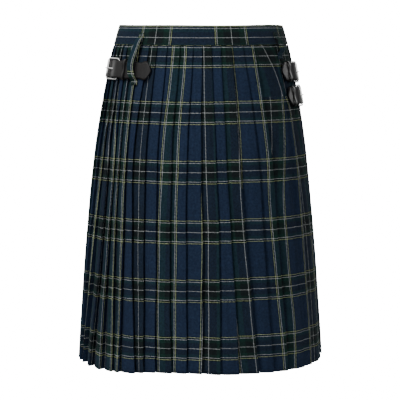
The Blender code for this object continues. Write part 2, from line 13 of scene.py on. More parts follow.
import bmesh
import bpy
import numpy as np
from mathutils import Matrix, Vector

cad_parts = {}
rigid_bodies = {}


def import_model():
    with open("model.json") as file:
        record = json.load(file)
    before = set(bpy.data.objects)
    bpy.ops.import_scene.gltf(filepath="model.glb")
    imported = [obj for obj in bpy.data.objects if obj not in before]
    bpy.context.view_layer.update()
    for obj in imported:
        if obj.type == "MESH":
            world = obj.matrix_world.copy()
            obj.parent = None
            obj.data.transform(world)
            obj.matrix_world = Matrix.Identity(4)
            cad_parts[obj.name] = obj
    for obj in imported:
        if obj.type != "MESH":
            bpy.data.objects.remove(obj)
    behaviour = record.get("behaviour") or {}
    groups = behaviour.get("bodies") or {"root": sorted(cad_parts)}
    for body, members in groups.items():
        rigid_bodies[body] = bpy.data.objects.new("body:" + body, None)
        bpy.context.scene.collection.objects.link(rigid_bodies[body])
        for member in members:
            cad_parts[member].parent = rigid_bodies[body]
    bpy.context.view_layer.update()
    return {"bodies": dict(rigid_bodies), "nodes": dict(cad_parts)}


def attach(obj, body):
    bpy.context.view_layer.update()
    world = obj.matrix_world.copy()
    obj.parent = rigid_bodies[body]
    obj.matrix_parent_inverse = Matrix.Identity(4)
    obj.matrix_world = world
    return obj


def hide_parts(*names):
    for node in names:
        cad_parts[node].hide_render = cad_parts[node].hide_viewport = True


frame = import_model()
BODY = sorted(frame["bodies"])[0]
MM = 0.001
print("body:", BODY, "nodes:", len(frame["nodes"]))

# %% [markdown]
# ## The form under the cloth
# A kilt takes its shape from the waist and hips under it. Here that form is a stack of
# ovals: half the width, and the reach to the back and to the front, at a few drops
# below the waist. A curve runs smoothly through the rows, because cloth bridges any
# kink. An angle of 0 is the middle of the back, and 90 is the wearer's right hip.

# %% The form
LENGTH = 610 * MM
BAND_HEIGHT = 34 * MM
FRONT_DIP = 10 * MM
PANEL_SET_BACK = 1.0 * MM
OVER_EDGE, LEFT_SEAM, RIGHT_SEAM, UNDER_EDGE = 98.0, 256.0, 464.0, 606.0
#        drop    half   back   front
FORM = (
    (0.000, 0.1480, 0.1100, 0.1000),
    (0.010, 0.1510, 0.1120, 0.1020),
    (0.020, 0.1535, 0.1150, 0.1040),
    (0.034, 0.1580, 0.1190, 0.1070),
    (0.050, 0.1622, 0.1220, 0.1100),
    (0.075, 0.1668, 0.1270, 0.1140),
    (0.125, 0.1762, 0.1340, 0.1190),
    (0.200, 0.1880, 0.1435, 0.1270),
    (0.300, 0.1985, 0.1505, 0.1360),
    (0.400, 0.2075, 0.1570, 0.1430),
    (0.500, 0.2145, 0.1680, 0.1490),
    (0.560, 0.2185, 0.1780, 0.1530),
    (0.610, 0.2215, 0.1830, 0.1560),
)
FORM_COLUMNS = [np.array(column) for column in zip(*FORM)]


def through(x, xs, ys):
    """A smooth curve through the rows of a table."""
    x, xs, ys = np.asarray(x, float), np.asarray(xs, float), np.asarray(ys, float)
    slope = np.gradient(ys, xs)
    i = np.clip(np.searchsorted(xs, x) - 1, 0, len(xs) - 2)
    h = xs[i + 1] - xs[i]
    t = np.clip((x - xs[i]) / h, 0, 1)
    a, b = (1 + 2 * t) * (1 - t) ** 2, t * t * (3 - 2 * t)
    pull = t * (1 - t) ** 2 * slope[i] - t * t * (1 - t) * slope[i + 1]
    return a * ys[i] + b * ys[i + 1] + h * pull


def ring(angle, drop, out=0.0):
    """A point of the form seen from above, moved level outwards: (..., 2)."""
    turn = np.radians(angle)
    half, back, front = (through(drop, FORM_COLUMNS[0], c) for c in FORM_COLUMNS[1:])
    reach = np.where(np.cos(turn) > 0, back, front)
    x, y = half * np.sin(turn), -reach * np.cos(turn)
    nx, ny = np.sin(turn) / half, -np.cos(turn) / reach
    size = np.hypot(nx, ny)
    return np.stack([x + nx / size * out, y + ny / size * out], axis=-1)


def height(angle, drop):
    """The waist is level at the back and dips at the front; the hem is level."""
    forward = (1 - np.cos(np.radians(angle))) / 2
    return -drop - FRONT_DIP * forward ** 2 * (1 - drop / LENGTH)


def degree(angle, drop):
    """How many metres one degree is worth, round the form."""
    return np.linalg.norm(ring(angle + 0.5, drop) - ring(angle - 0.5, drop), axis=-1)


print("hem", np.round(ring(90, LENGTH)[0] * 2, 3), "m wide")

# %% [markdown]
# ## Meshes from rows of points
# All the cloth here is a grid: columns run round the body and rows run down. One
# helper turns such a grid into a mesh, with a UV map in metres of cloth, so that the
# tartan follows the threads and not the room. A pleat hides part of the pattern in its
# fold, so each column of faces may have its own U.

# %% Grid helper
def put(name, data):
    """Adds an object to the scene, whatever its data is."""
    thing = bpy.data.objects.new(name, data)
    bpy.context.scene.collection.objects.link(thing)
    return thing


def link(name, mesh, material=None):
    if material:
        mesh.materials.append(material)
    mesh.shade_smooth()
    return put(name, mesh)


def grid(name, points, u, v, material, closed=False, caps=False, rim=None):
    """points is (rows, columns, 3). u and v are (rows, columns - 1, 2): the values at
    both sides of each column of faces. A closed grid joins its last column to its first."""
    rows, columns = points.shape[:2]
    index = np.arange(rows * columns).reshape(rows, columns)
    if closed:
        index = np.concatenate([index, index[:, :1]], axis=1)
    quads = np.stack([index[:-1, :-1], index[1:, :-1], index[1:, 1:], index[:-1, 1:]], axis=-1)
    faces = quads.reshape(-1, 4).tolist()
    uv = np.stack([np.stack([w[:-1, :, 0], w[1:, :, 0], w[1:, :, 1], w[:-1, :, 1]], axis=-1)
                   for w in (u, v)], axis=-1).reshape(-1, 2)
    if caps:
        for row, flip in ((0, 1), (rows - 1, -1)):
            faces.append(index[row, :columns][::flip].tolist())
            uv = np.concatenate([uv, np.tile([u[row, 0, 0], v[row, 0, 0]], (columns, 1))])
    mesh = bpy.data.meshes.new(name)
    mesh.from_pydata(points.reshape(-1, 3).tolist(), [], faces)
    layer = mesh.uv_layers.new(name="cloth")
    layer.data.foreach_set("uv", uv.astype(np.float32).ravel())
    if rim is not None:
        values = mesh.attributes.new("rim", "FLOAT", "POINT").data
        values.foreach_set("value", rim.astype(np.float32).ravel())
    return link(name, mesh, material)


def both_sides(w):
    """Values at the columns, as values at both sides of each column of faces."""
    return np.stack([w[:, :-1], w[:, 1:]], axis=-1)


def thicken(piece, thick):
    """Gives a sheet of cloth its thickness, half to each side."""
    wall = piece.modifiers.new("thickness", "SOLIDIFY")
    wall.thickness = thick
    wall.offset = 0.0
    return piece


def triangles(piece):
    shown = piece.evaluated_get(bpy.context.evaluated_depsgraph_get())
    mesh = shown.to_mesh()
    count = sum(len(p.vertices) - 2 for p in mesh.polygons)
    shown.to_mesh_clear()
    return count


# %% [markdown]
# ## Tartan
# Tartan is a 2/2 twill woven with the same run of coloured threads both ways. Where
# warp and weft have one colour it shows full, and elsewhere the two mix. An image
# would repeat and blur, so nodes do what the loom does: each thread's number gives its
# colour from a colour ramp, and the twill says which thread lies on top. This cloth has
# a blue ground, and a group of green, black-navy and one white thread, with a fine
# yellow and a white thread at each side. The helpers come first: they add a node with
# its inputs already filled, so that a material reads like a sum.

# %% Node helpers
def new_group(name, inputs, outputs):
    tree = bpy.data.node_groups.new(name, "ShaderNodeTree")
    for label, kind, value in inputs:
        socket = tree.interface.new_socket(label, in_out="INPUT", socket_type=kind)
        if value is not None:
            socket.default_value = value
    for label, kind in outputs:
        tree.interface.new_socket(label, in_out="OUTPUT", socket_type=kind)
    return tree, tree.nodes.new("NodeGroupInput"), tree.nodes.new("NodeGroupOutput")


def feed(tree, node, inputs):
    """Fills a node's inputs, each with a value or with a link from another socket."""
    for label, value in inputs.items():
        if isinstance(value, bpy.types.NodeSocket):
            tree.links.new(value, node.inputs[label])
        else:
            node.inputs[label].default_value = value
    return node


def add_node(tree, kind, inputs=None, **settings):
    node = tree.nodes.new(kind)
    for setting, value in settings.items():
        setattr(node, setting, value)
    return feed(tree, node, inputs or {})


def maths(tree, operation, *values):
    return add_node(tree, "ShaderNodeMath", dict(enumerate(values)), operation=operation).outputs[0]


def weighed(tree, base, *parts):
    """A sum of values, each times its weight, and a base."""
    total = None
    for value, weight in parts:
        part = maths(tree, "MULTIPLY", value, weight)
        total = part if total is None else maths(tree, "ADD", total, part)
    return maths(tree, "ADD", total, base)


def mix(tree, share, a, b, blend="MIX"):
    a, b = ((*c, 1.0) if isinstance(c, tuple) else c for c in (a, b))
    node = add_node(tree, "ShaderNodeMix", data_type="RGBA", blend_type=blend)
    return feed(tree, node, {0: share, 6: a, 7: b}).outputs[2]


def noise(tree, vector, scale, detail=2.0):
    inputs = {"Scale": scale, "Detail": detail, "Vector": vector}
    return add_node(tree, "ShaderNodeTexNoise", inputs).outputs["Fac"]


def ramp(tree, value, stops):
    """A colour ramp with hard steps: (place, colour) for each."""
    node = add_node(tree, "ShaderNodeValToRGB", {0: value})
    node.color_ramp.interpolation = "CONSTANT"
    elements = node.color_ramp.elements
    while len(elements) < len(stops):
        elements.new(1.0)
    for element, (place, colour) in zip(elements, stops):
        element.position = place
        element.color = (*colour, 1.0)
    return node.outputs["Color"]


# %% The tartan group
BLUE = (0.027, 0.048, 0.101)
GREEN = (0.016, 0.054, 0.043)
DARK = (0.015, 0.022, 0.024)
INK = (0.006, 0.007, 0.010)
YELLOW = (0.74, 0.84, 0.46)
WHITE = (0.80, 0.84, 0.84)
# A thread's width, in millimetres
THREAD = 0.6
# Half of the group, outwards from its middle: the thread where each stripe ends
WARP_STRIPES = ((1, WHITE), (24, DARK), (43, GREEN), (45, WHITE), (48, INK),
                (50, YELLOW), (52, INK))
WEFT_STRIPES = ((1, WHITE), (17, DARK), (26, GREEN), (28, WHITE), (32, INK),
                (34, YELLOW), (36, INK))
WARP_THREADS, WEFT_THREADS = 228, 172
WARP_REPEAT, WEFT_REPEAT = WARP_THREADS * THREAD, WEFT_THREADS * THREAD


def stripe_stops(stripes, threads):
    """Stops over half a repeat, because the pattern is its own mirror image."""
    stops, start = [], 0.0
    for end, colour in stripes:
        stops.append((start / (threads / 2), colour))
        start = end
    return stops + [(start / (threads / 2), BLUE)]


# %% The weave, as a node group
def tartan_group():
    """UV in metres to the cloth's colour and its height at each thread."""
    tree, enter, leave = new_group("tartan", [("Cloth", "NodeSocketVector", None)],
                                   [("Color", "NodeSocketColor"), ("Height", "NodeSocketFloat")])
    parts = add_node(tree, "ShaderNodeSeparateXYZ", {0: enter.outputs[0]})
    sides = []
    for axis, stripes, threads in ((0, WARP_STRIPES, WARP_THREADS), (1, WEFT_STRIPES, WEFT_THREADS)):
        turns = maths(tree, "DIVIDE", parts.outputs[axis], THREAD * MM)
        number = maths(tree, "FLOOR", turns)
        middle = maths(tree, "ADD", number, 0.5)
        there = maths(tree, "DIVIDE", maths(tree, "PINGPONG", middle, threads / 2), threads / 2)
        colour = ramp(tree, there, stripe_stops(stripes, threads))
        bulge = maths(tree, "SINE", maths(tree, "MULTIPLY", maths(tree, "FRACT", turns), math.pi))
        sides.append((colour, number, bulge))
    (warp, i, warp_bulge), (weft, j, weft_bulge) = sides
    step = maths(tree, "FLOORED_MODULO", maths(tree, "ADD", i, j), 4.0)
    on_top = maths(tree, "LESS_THAN", step, 1.5)
    colour = mix(tree, on_top, weft, warp)
    bulge = maths(tree, "ADD", maths(tree, "MULTIPLY", on_top, warp_bulge),
                  maths(tree, "MULTIPLY", maths(tree, "SUBTRACT", 1.0, on_top), weft_bulge))
    fleck = noise(tree, enter.outputs[0], 900.0, 3.0)
    slub = noise(tree, enter.outputs[0], 260.0, 1.0)
    patch = noise(tree, enter.outputs[0], 22.0, 2.0)
    shade = weighed(tree, 0.08, (fleck, 0.6), (patch, 0.35), (slub, 0.9))
    # The crown of each thread is painted lighter and its sides darker, as painted shade. It is
    # multiplied into the colour together with the noise tone.
    tone_and_thread_shade = maths(tree, "MULTIPLY", shade, weighed(tree, 0.68, (bulge, 0.35)))
    grey = add_node(tree, "ShaderNodeCombineXYZ", {0: tone_and_thread_shade, 1: tone_and_thread_shade, 2: tone_and_thread_shade})
    colour = mix(tree, 1.0, colour, grey.outputs[0], "MULTIPLY")
    stretch = add_node(tree, "ShaderNodeVectorMath", {0: enter.outputs[0], 1: (1.0, 0.07, 1.0)},
                       operation="MULTIPLY")
    ripple = noise(tree, stretch.outputs[0], 130.0, 2.0)
    rough = weighed(tree, 0.0, (bulge, 0.16), (fleck, 0.12), (ripple, 1.5))
    feed(tree, leave, {"Color": colour, "Height": rough})
    return tree


TARTAN = tartan_group()
print("tartan: repeats of", round(WARP_REPEAT, 1), "and", round(WEFT_REPEAT, 1), "mm")


# %% Cloth material
def material(name, roughness, metallic=0.0):
    look = bpy.data.materials.new(name)
    look.use_nodes = True
    tree = look.node_tree
    shader = tree.nodes["Principled BSDF"]
    return look, tree, feed(tree, shader, {"Roughness": roughness, "Metallic": metallic})


def bump(tree, shader, height_value, strength, distance):
    inputs = {"Strength": strength, "Distance": distance, "Height": height_value}
    feed(tree, shader, {"Normal": add_node(tree, "ShaderNodeBump", inputs).outputs[0]})


def tartan_material():
    look, tree, shader = material("tartan cloth", 0.86)
    uv = add_node(tree, "ShaderNodeUVMap", uv_map="cloth")
    cloth = add_node(tree, "ShaderNodeGroup", node_tree=TARTAN)
    feed(tree, cloth, {0: uv.outputs[0]})
    bump(tree, shader, cloth.outputs["Height"], 0.8, 1.0 * MM)
    feed(tree, shader, {"Base Color": cloth.outputs["Color"], "Specular IOR Level": 0.08,
                        "Sheen Weight": 0.02, "Sheen Roughness": 0.5,
                        "Sheen Tint": (0.75, 0.85, 1.0, 1.0)})
    return look


CLOTH = tartan_material()
print("cloth material:", len(CLOTH.node_tree.nodes), "nodes")

# %% [markdown]
# ## The pleated back
# Each knife pleat is a face that runs out to a pressed fold, turns back under itself
# and turns again into the next face. Painted lines would stay flat when seen from the
# side, so the cloth really goes in and out here. A table gives each fold's angle at
# four drops, the depth and tuck of its hidden turn, and which part of the tartan lies
# on the fold. The maker chose those parts, and the taper at the waist shifts them.
# Beside the two right buckles the straps pull two pleats open, so those have more
# rows of their own, with a jump in the tartan where the fold falls shut again.

# %% Pleat table
FOLD_DROPS = (0.050, 0.200, 0.415, LENGTH)
SETT_DROPS = (0.050, 0.200, 0.300, LENGTH)
#    fold's angle at each drop     deep  tuck   tartan on the fold, mm        hangs lower
PLEATS = (
    ((-92.0, -91.0, -93.5, -95.0), 9.0, 5.0, (30.0, 37.0, 39.5, 45.0), 1.0),
    ((-82.0, -82.0, -86.0, -88.5), 12.0, 3.5, (10.0, 15.0, 16.0, 20.0), 1.5),
    ((-73.5, -74.0, -77.5, -82.0), 12.0, 3.5, (-60.0, -53.0, -50.0, -45.0), -0.5),
    ((-66.0, -66.0, -69.5, -75.0), 13.0, 3.5, (18.0, 28.5, 29.5, 31.0), -0.5),
    ((-60.5, -59.5, -60.5, -65.0), 12.5, 4.0, (3.0, 1.5, -2.5, -4.0), -1.5),
    ((-55.0, -53.5, -53.5, -55.0), 12.5, 4.0, (52.0, 30.0, 28.5, 28.5), -1.0),
    ((-49.0, -48.8, -48.3, -46.3), 12.0, 4.5, (28.5, 28.5, 29.0, 29.0), -2.0),
    ((-43.0, -43.5, -42.3, -41.4), 12.0, 4.5, (30.0, 30.5, 31.0, 31.5), -1.2),
    ((-35.0, -38.6, -35.8, -32.0), 13.0, 6.0, (66.0, 66.0, 66.0, 66.0), -2.0),
    ((-28.8, -30.5, -29.0, -27.5), 10.0, 4.5, (10.5, 11.0, 13.0, 9.5), -1.5),
    ((-21.6, -23.3, -22.4, -21.2), 10.5, 6.5, (70.0, 70.0, 70.0, 70.0), -1.6),
    ((-13.0, -15.2, -15.0, -13.5), 10.5, 7.5, (-16.0, -11.5, -8.0, -3.0), -0.2),
    ((-4.7, -7.0, -7.0, -6.5), 10.5, 7.5, (41.0, 44.3, 45.8, 51.0), -0.3),
    ((1.0, 0.4, 1.0, 1.0), 10.5, 7.5, (-38.0, -34.0, -29.5, -25.0), -0.6),
    ((7.0, 7.9, 9.4, 9.2), 10.5, 8.0, (13.6, 17.5, 18.3, 21.0), -1.7),
    ((13.0, 13.6, 16.0, 18.0), 10.5, 8.0, (70.0, 70.0, 70.0, 70.0), -2.8),
    ((20.4, 21.0, 23.8, 28.4), 10.5, 8.0, (-3.0, -1.0, 3.5, 5.0), -3.7),
    ((28.5, 31.8, 33.6, 36.2), 10.5, 8.0, (49.0, 58.0, 65.0, 72.0), -4.6),
    ((36.6, 41.0, 42.8, 45.2), 10.0, 8.0, (-26.0, -19.5, -16.0, -20.0), -4.0),
    ((46.0, 56.4, 55.0, 58.0), 8.0, 10.0, (1.5, 36.0, 41.5, 51.0), -4.2),
    ((57.0, 64.5, 65.3, 66.0), 7.0, 10.0, (-26.0, -25.5, -25.0, -25.0), -4.0),
    ((68.0, 73.5, 77.0, 78.0), 7.0, 10.0, (18.0, 19.0, 19.0, 20.0), -5.0),
    ((81.0, 83.0, 90.0, 91.0), 7.0, 9.0, (-5.0, -2.0, -1.0, 0.0), -5.0),
)
# Two pleats are pulled open by the straps: drop, the fold's angle, tartan on the fold
PULLED_FIRST = 19
PULLED = {
    PULLED_FIRST: (
        (0.034, 44.0, 1.0), (0.054, 47.6, 1.0), (0.072, 51.6, 1.5), (0.097, 55.4, 2.0),
        (0.1262, 58.4, 3.0), (0.1268, 58.4, 34.0), (0.202, 56.4, 36.5), (0.301, 53.6, 41.5),
        (0.415, 54.6, 45.5), (0.543, 57.6, 50.0), (LENGTH, 58.2, 52.0)),
    PULLED_FIRST + 1: (
        (0.034, 53.5, 22.0), (0.050, 57.0, 22.0), (0.1262, 61.8, 22.0), (0.1268, 61.9, -25.5),
        (0.200, 64.5, -25.5), (0.415, 65.3, -25.0), (LENGTH, 66.0, -25.0)),
}
PULLED_EXTRA_ROWS = (0.1262, 0.1268)
# On the first of them the pulled cloth lies aslant and shows less tartan: drop, share
PULLED_SPREAD = ((0.034, 1.0), (0.060, 0.66), (0.1262, 0.54), (0.1268, 1.0))
LAST_SETT, LAST_HANG = (60.0, 60.0, 60.0, 60.0), 0.0
TOP_DEEP, TOP_TUCK = 5.2 * MM, 6.0 * MM
OPENING, HANG_EASE = 0.7, 0.6
PLEAT_THICK, RIPPLE, FACE_SWELL = 1.0 * MM, 0.55 * MM, 0.5 * MM
FACE_POINTS, FACE_BOW = 12, 1.6
# The band presses the cloth in and flat over its first centimetre
TOP_ROW, BAND_REACH, BAND_SINK, BAND_FLAT = 0.0338, 0.010, 1.5 * MM, 0.45
FOLD_SOFT, VALLEY_SOFT = 1.3 * MM, 2.4 * MM
PROUD_OUT = 4.0 * MM
SAG_ANGLES = (-104, -90, -75, -60, -45, -34, -24, -12, 0, 10, 24, 40, 55, 68, 80, 92, 104)
SAG_LOW = (2.5, 3.0, 4.0, 7.0, 7.0, 5.5, 1.5, 0.5, 1.0, 3.5, 3.5, 4.5, 4.0, 2.0, 2.0, 3.0, 1.0)
# Where each white weft line lies at the middle of the back
WEFT_LINES = (0.0543, 0.1530, 0.2575, 0.3632, 0.4668, 0.5662)
# Soft troughs and ridges of the cloth: angle, drop, half its width, half its length,
# lean in degrees for each metre of drop, and how far it stands out, in millimetres
CREASES = (
    (-76, 0.150, 5.0, 0.070, 40, -2.6),
    (-66, 0.330, 4.0, 0.090, -20, 2.2),
    (-47, 0.470, 5.0, 0.080, 30, -2.4),
    (-33, 0.300, 3.2, 0.110, -10, -1.8),
    (-20, 0.520, 3.6, 0.070, 14, 2.0),
    (-3, 0.430, 3.4, 0.090, -12, -1.6),
    (12, 0.560, 4.0, 0.060, 10, 1.8),
    (29, 0.390, 4.2, 0.110, 26, -2.2),
    (40, 0.240, 3.6, 0.080, 22, 1.8),
    (48, 0.500, 5.0, 0.080, 34, 2.6),
    (60, 0.330, 5.0, 0.100, 26, -2.6),
    (70, 0.170, 6.0, 0.060, 50, -2.4),
    (82, 0.420, 7.0, 0.120, 20, 3.0),
)


# %% How the cloth hangs
def weft(drop):
    """The cloth's own length down from the waist, with a white line at each repeat."""
    lines = np.array(WEFT_LINES)
    repeats = np.arange(1, len(lines) + 1) * WEFT_REPEAT * MM
    low = (drop - lines[0]) + repeats[0]
    high = (drop - lines[-1]) + repeats[-1]
    inside = np.interp(drop, lines, repeats)
    return np.where(drop < lines[0], low, np.where(drop > lines[-1], high, inside))


def sag(angle, drop):
    """The hem isn't quite level: some folds hang lower than others."""
    return np.interp(angle, SAG_ANGLES, SAG_LOW) * MM * (drop / LENGTH) ** 3


def proud(angle, drop):
    """The folds on the wearer's left hip stand out a little more."""
    return PROUD_OUT * np.interp(angle, (-92, -60), (1, 0)) * np.clip(drop / 0.30, 0, 1) ** 2


def creased(angle, drop, creases=CREASES):
    """How far the creases move the cloth out."""
    total = 0.0
    for at, down, wide, long, lean, out in creases:
        across = (angle - at - lean * (drop - down)) / wide
        along = (drop - down) / long
        total = total + out * MM * np.exp(-across ** 2 - along ** 2)
    return total


# %% What each pleat does
def fold_angle(k, drops):
    if k in PULLED:
        pulled = np.array(PULLED[k])
        return through(drops, pulled[:, 0], pulled[:, 1])
    return through(drops, FOLD_DROPS, PLEATS[k][0])


def fold_setts(drops):
    """The part of the tartan on each fold, in metres: (rows, folds)."""
    columns = [np.interp(drops, SETT_DROPS, row[3]) for row in PLEATS]
    for k, rows in PULLED.items():
        columns[k] = np.interp(drops, np.array(rows)[:, 0], np.array(rows)[:, 2])
    columns.append(np.interp(drops, SETT_DROPS, LAST_SETT))
    return np.stack(columns, axis=1) * MM


def rippled(k, t, fall):
    """Long shallow ripples down each face, different in every pleat."""
    wander = 0.8 * np.sin(3.1 * fall + 1.3 * k)
    first = np.sin(2 * math.pi * (1.6 + 0.3 * math.sin(k)) * t + wander + 2.7 * k)
    second = np.sin(2 * math.pi * 3.1 * t - 1.5 * wander + 4.1 * k)
    return RIPPLE * (first + 0.5 * second) * np.clip(fall * 4, 0.3, 1)


def bend(a, corner, b, count):
    """A soft turn from a to b round a corner: (rows, count, 2)."""
    t = np.linspace(0, 1, count)[None, :, None]
    a, corner, b = (p[:, None] for p in (a, corner, b))
    return (1 - t) ** 2 * a + 2 * t * (1 - t) * corner + t * t * b


def wandering(k, fall):
    """A pressed fold isn't ruler-straight: how many degrees it strays."""
    return 0.22 * fall * np.sin(9 * fall + 2.1 * k) + 0.10 * np.sin(23 * fall + k)


def pleat_rows(rows=84):
    """The drop of each row, closer together near the waist."""
    share = np.linspace(0, 1, rows)
    drops = TOP_ROW + (LENGTH - TOP_ROW) * (0.15 * share + 0.85 * share ** 1.25)
    drops[-1] = LENGTH
    return np.sort(np.append(drops, PULLED_EXTRA_ROWS))


# %% [markdown]
# Seen from above, the cloth is one zigzag line. For every fold the script goes out
# along the face, bends softly round the fold, comes back underneath and bends into the
# next face. Each column of points remembers whose pleat it belongs to, because the
# tartan is laid on from each fold and not from one end.

# %% Fold the cloth
def pleated_cloth():
    drops = pleat_rows()
    rows = len(drops)
    fall = np.clip((drops - BAND_HEIGHT) / (LENGTH - BAND_HEIGHT), 0, 1)
    opened = fall ** OPENING
    clear = np.clip((drops - TOP_ROW) / BAND_REACH, 0, 1)
    sink = -BAND_SINK * (1 - clear) ** 2
    flat = BAND_FLAT + (1 - BAND_FLAT) * clear
    start = np.full(rows, LEFT_SEAM - 360)
    start_deep = np.full(rows, PANEL_SET_BACK)
    chunks, angles, owners, folds = [], [], [], []

    def add(run, angle, owner):
        chunks.append(run)
        angles.append(np.broadcast_to(angle, run.shape[:2]))
        owners.extend(owner)

    for k, row in enumerate(PLEATS + (None,)):
        last = row is None
        fold = np.full(rows, RIGHT_SEAM - 360) if last else fold_angle(k, drops)
        if not last:
            fold = fold + wandering(k, fall)
            deep = (TOP_DEEP + (row[1] * MM - TOP_DEEP) * opened) * flat
            tuck = TOP_TUCK + (row[2] * MM - TOP_TUCK) * opened
        swell = FACE_SWELL * np.sin(7 * fall + 1.7 * k) * fall

        def face(t):
            a = start[:, None] + (fold - start)[:, None] * t
            end_out = -PANEL_SET_BACK if last else 0.0
            out = -start_deep[:, None] * (1 - t) ** FACE_BOW + end_out * t
            out = out + proud(a, drops[:, None]) * t
            wavy = swell[:, None] + creased(a, drops[:, None]) + rippled(k, t, fall[:, None])
            out = out + wavy * np.sin(math.pi * t) ** 0.5
            out = out + sink[:, None]
            return ring(a, drops[:, None], out), a

        # The cloth's first edge and its last one meet the aprons, with no bend there
        long = (fold - start) * degree(fold, drops)
        near = (np.clip(VALLEY_SOFT / long, 0, 0.3) * (k > 0))[:, None]
        far = 1 - (np.clip(FOLD_SOFT / long, 0, 0.3) * (not last))[:, None]
        if k:
            corner = ring(start, drops, -start_deep + sink)
            turn = bend(before, corner, face(near)[0][:, 0], 5)
            add(turn, start[:, None], [k - 1] * 2 + [k] * 3)
        t = near + (far - near) * np.linspace(0, 1, FACE_POINTS)[None, :]
        body, a = face(t[:, 1:] if k else t)
        add(body, a, [k] * body.shape[1])
        if last:
            break
        tip = ring(fold, drops, sink + proud(fold, drops))
        valley_angle = fold - tuck / degree(fold, drops)
        valley = ring(valley_angle, drops, -deep + sink)
        way = np.linalg.norm(valley - tip, axis=1)[:, None]
        after = tip + (valley - tip) * np.clip(FOLD_SOFT / way, 0, 0.3)
        add(bend(body[:, -1], tip, after, 6)[:, 1:], fold[:, None], [k] * 5)
        folds.append(len(owners) - 3)
        before = tip + (valley - tip) * (1 - np.clip(VALLEY_SOFT / way, 0, 0.3))
        add(((after + before) / 2)[:, None], valley_angle[:, None], [k])
        start, start_deep = valley_angle, deep

    flat_points = np.concatenate(chunks, axis=1)
    angle = np.concatenate(angles, axis=1)
    folds.append(flat_points.shape[1] - 1)
    z = height(angle, drops[:, None]) - sag(angle, drops[:, None])
    points = np.concatenate([flat_points, z[:, :, None]], axis=2)
    return points, *tartan_on_pleats(flat_points, drops, fall, np.array(owners)[1:], folds)


def tartan_on_pleats(flat_points, drops, fall, owner, folds):
    """U and V of each column of faces, measured from its own fold, and the cloth's way."""
    steps = np.linalg.norm(np.diff(flat_points, axis=1), axis=2)
    way = np.concatenate([np.zeros((len(drops), 1)), np.cumsum(steps, axis=1)], axis=1)
    spread = np.ones((len(drops), len(owner)))
    spread[:, owner == PULLED_FIRST] = np.interp(drops, *np.array(PULLED_SPREAD).T)[:, None]
    sett = fold_setts(drops)[:, owner]
    past = way[:, np.array(folds)[owner]]
    u = np.stack([sett + spread * (side - past) for side in (way[:, :-1], way[:, 1:])], axis=-1)
    hang = np.array([row[4] for row in PLEATS] + [LAST_HANG])[None, :]
    v = weft(drops)[:, None] - hang[:, owner] * MM * (fall ** HANG_EASE)[:, None]
    return u, np.stack([v, v], axis=-1), way


pleat_points, pleat_u, pleat_v, pleat_way = pleated_cloth()
pleats = thicken(grid("pleated_cloth", pleat_points, pleat_u, pleat_v, CLOTH), PLEAT_THICK)
print("pleats:", len(PLEATS), "folds,", triangles(pleats), "triangles")
print("cloth at the hem", round(float(pleat_way[-1, -1]), 3), "m")

# %% [markdown]
# ## The aprons
# The plain ends of the cloth wrap over the front. They hang from the waistband in a few
# slow waves that grow towards the hem. The same form carries them: the over apron lies
# a little outside it and the under apron a little inside, so that they never touch.

# %% Aprons
APRON_LIFT, UNDER_SINK, HEM_SPREAD = 4.0 * MM, 5.0 * MM, 3.0 * MM
DRAPE_WAVES, DRAPE_DEEP = 3, 5 * MM
APRON_THICK, APRON_TOP = 1.2 * MM, 0.0345
# The same columns as CREASES
FRONT_CREASES = (
    (128, 0.420, 5.0, 0.120, 24, -2.0),
    (152, 0.300, 6.0, 0.130, -14, 1.8),
    (171, 0.480, 5.0, 0.090, 10, -2.2),
    (190, 0.220, 6.0, 0.100, -20, -1.6),
    (214, 0.450, 6.0, 0.110, -18, 2.2),
    (238, 0.250, 6.0, 0.100, -40, -2.2),
)


def wrap_out(angle, drop):
    """How far the wrapped cloth stands out or in, all the way along its length."""
    spread = HEM_SPREAD * drop / LENGTH
    over = (LEFT_SEAM - angle) / (LEFT_SEAM - OVER_EDGE)
    under = (angle - RIGHT_SEAM) / (UNDER_EDGE - RIGHT_SEAM)
    out = np.where(angle < LEFT_SEAM, (APRON_LIFT + spread) * over, 0.0)
    out = np.where(angle > RIGHT_SEAM, -(UNDER_SINK + spread) * under, out)
    return out - PANEL_SET_BACK


def drape(angle, drop):
    """How far the slow waves and the creases of an apron move it out."""
    share = np.clip((angle % 360 - OVER_EDGE) / (LEFT_SEAM - OVER_EDGE), 0, 1)
    fade = np.sin(math.pi * share) * (drop / LENGTH) ** 1.5
    wave = DRAPE_DEEP * fade * np.sin(2 * math.pi * DRAPE_WAVES * share + 0.6)
    return wave + creased(angle % 360, drop, FRONT_CREASES)


def apron(name, first, last, sett_at, columns=120, rows=70):
    angle = np.linspace(first, last, columns)[None, :] * np.ones((rows, 1))
    drop = np.linspace(APRON_TOP, LENGTH, rows)[:, None] * np.ones((1, columns))
    flat = ring(angle, drop, wrap_out(angle, drop) + drape(angle, drop))
    points = np.concatenate([flat, height(angle, drop)[:, :, None]], axis=2)
    steps = np.linalg.norm(np.diff(flat[-1], axis=0), axis=1)
    way = np.concatenate([[0.0], np.cumsum(steps)])
    u = way - np.interp(sett_at, angle[0], way)
    u = both_sides(np.repeat(u[None, :], rows, axis=0))
    v = both_sides(weft(drop))
    piece = thicken(grid(name, points, u, v, CLOTH), APRON_THICK)
    print(name, "is", round(float(way[-1]), 3), "m of cloth at the hem")
    return piece, float(way[-1])


over_cloth, over_wide = apron("over_apron_cloth", OVER_EDGE, LEFT_SEAM, 178)
under_cloth, under_wide = apron("under_apron_cloth", RIGHT_SEAM, UNDER_EDGE, 538)

# %% [markdown]
# ## The waistband
# A straight strip of the same tartan is folded over the top of the pleats and sewn
# down. Its section is drawn once as a closed outline, flat outside and in, with a
# rounded top where the cloth folds, and is carried round the waist and on inside for
# the under apron. The lines stay upright, because the strip isn't pleated.

# %% Waistband
BAND_THICK = 2.0 * MM
BAND_WARP_LINE = 21.0
BAND_WEFT_LINE = 20.8 * MM
TOP_RISE = 1.4 * MM


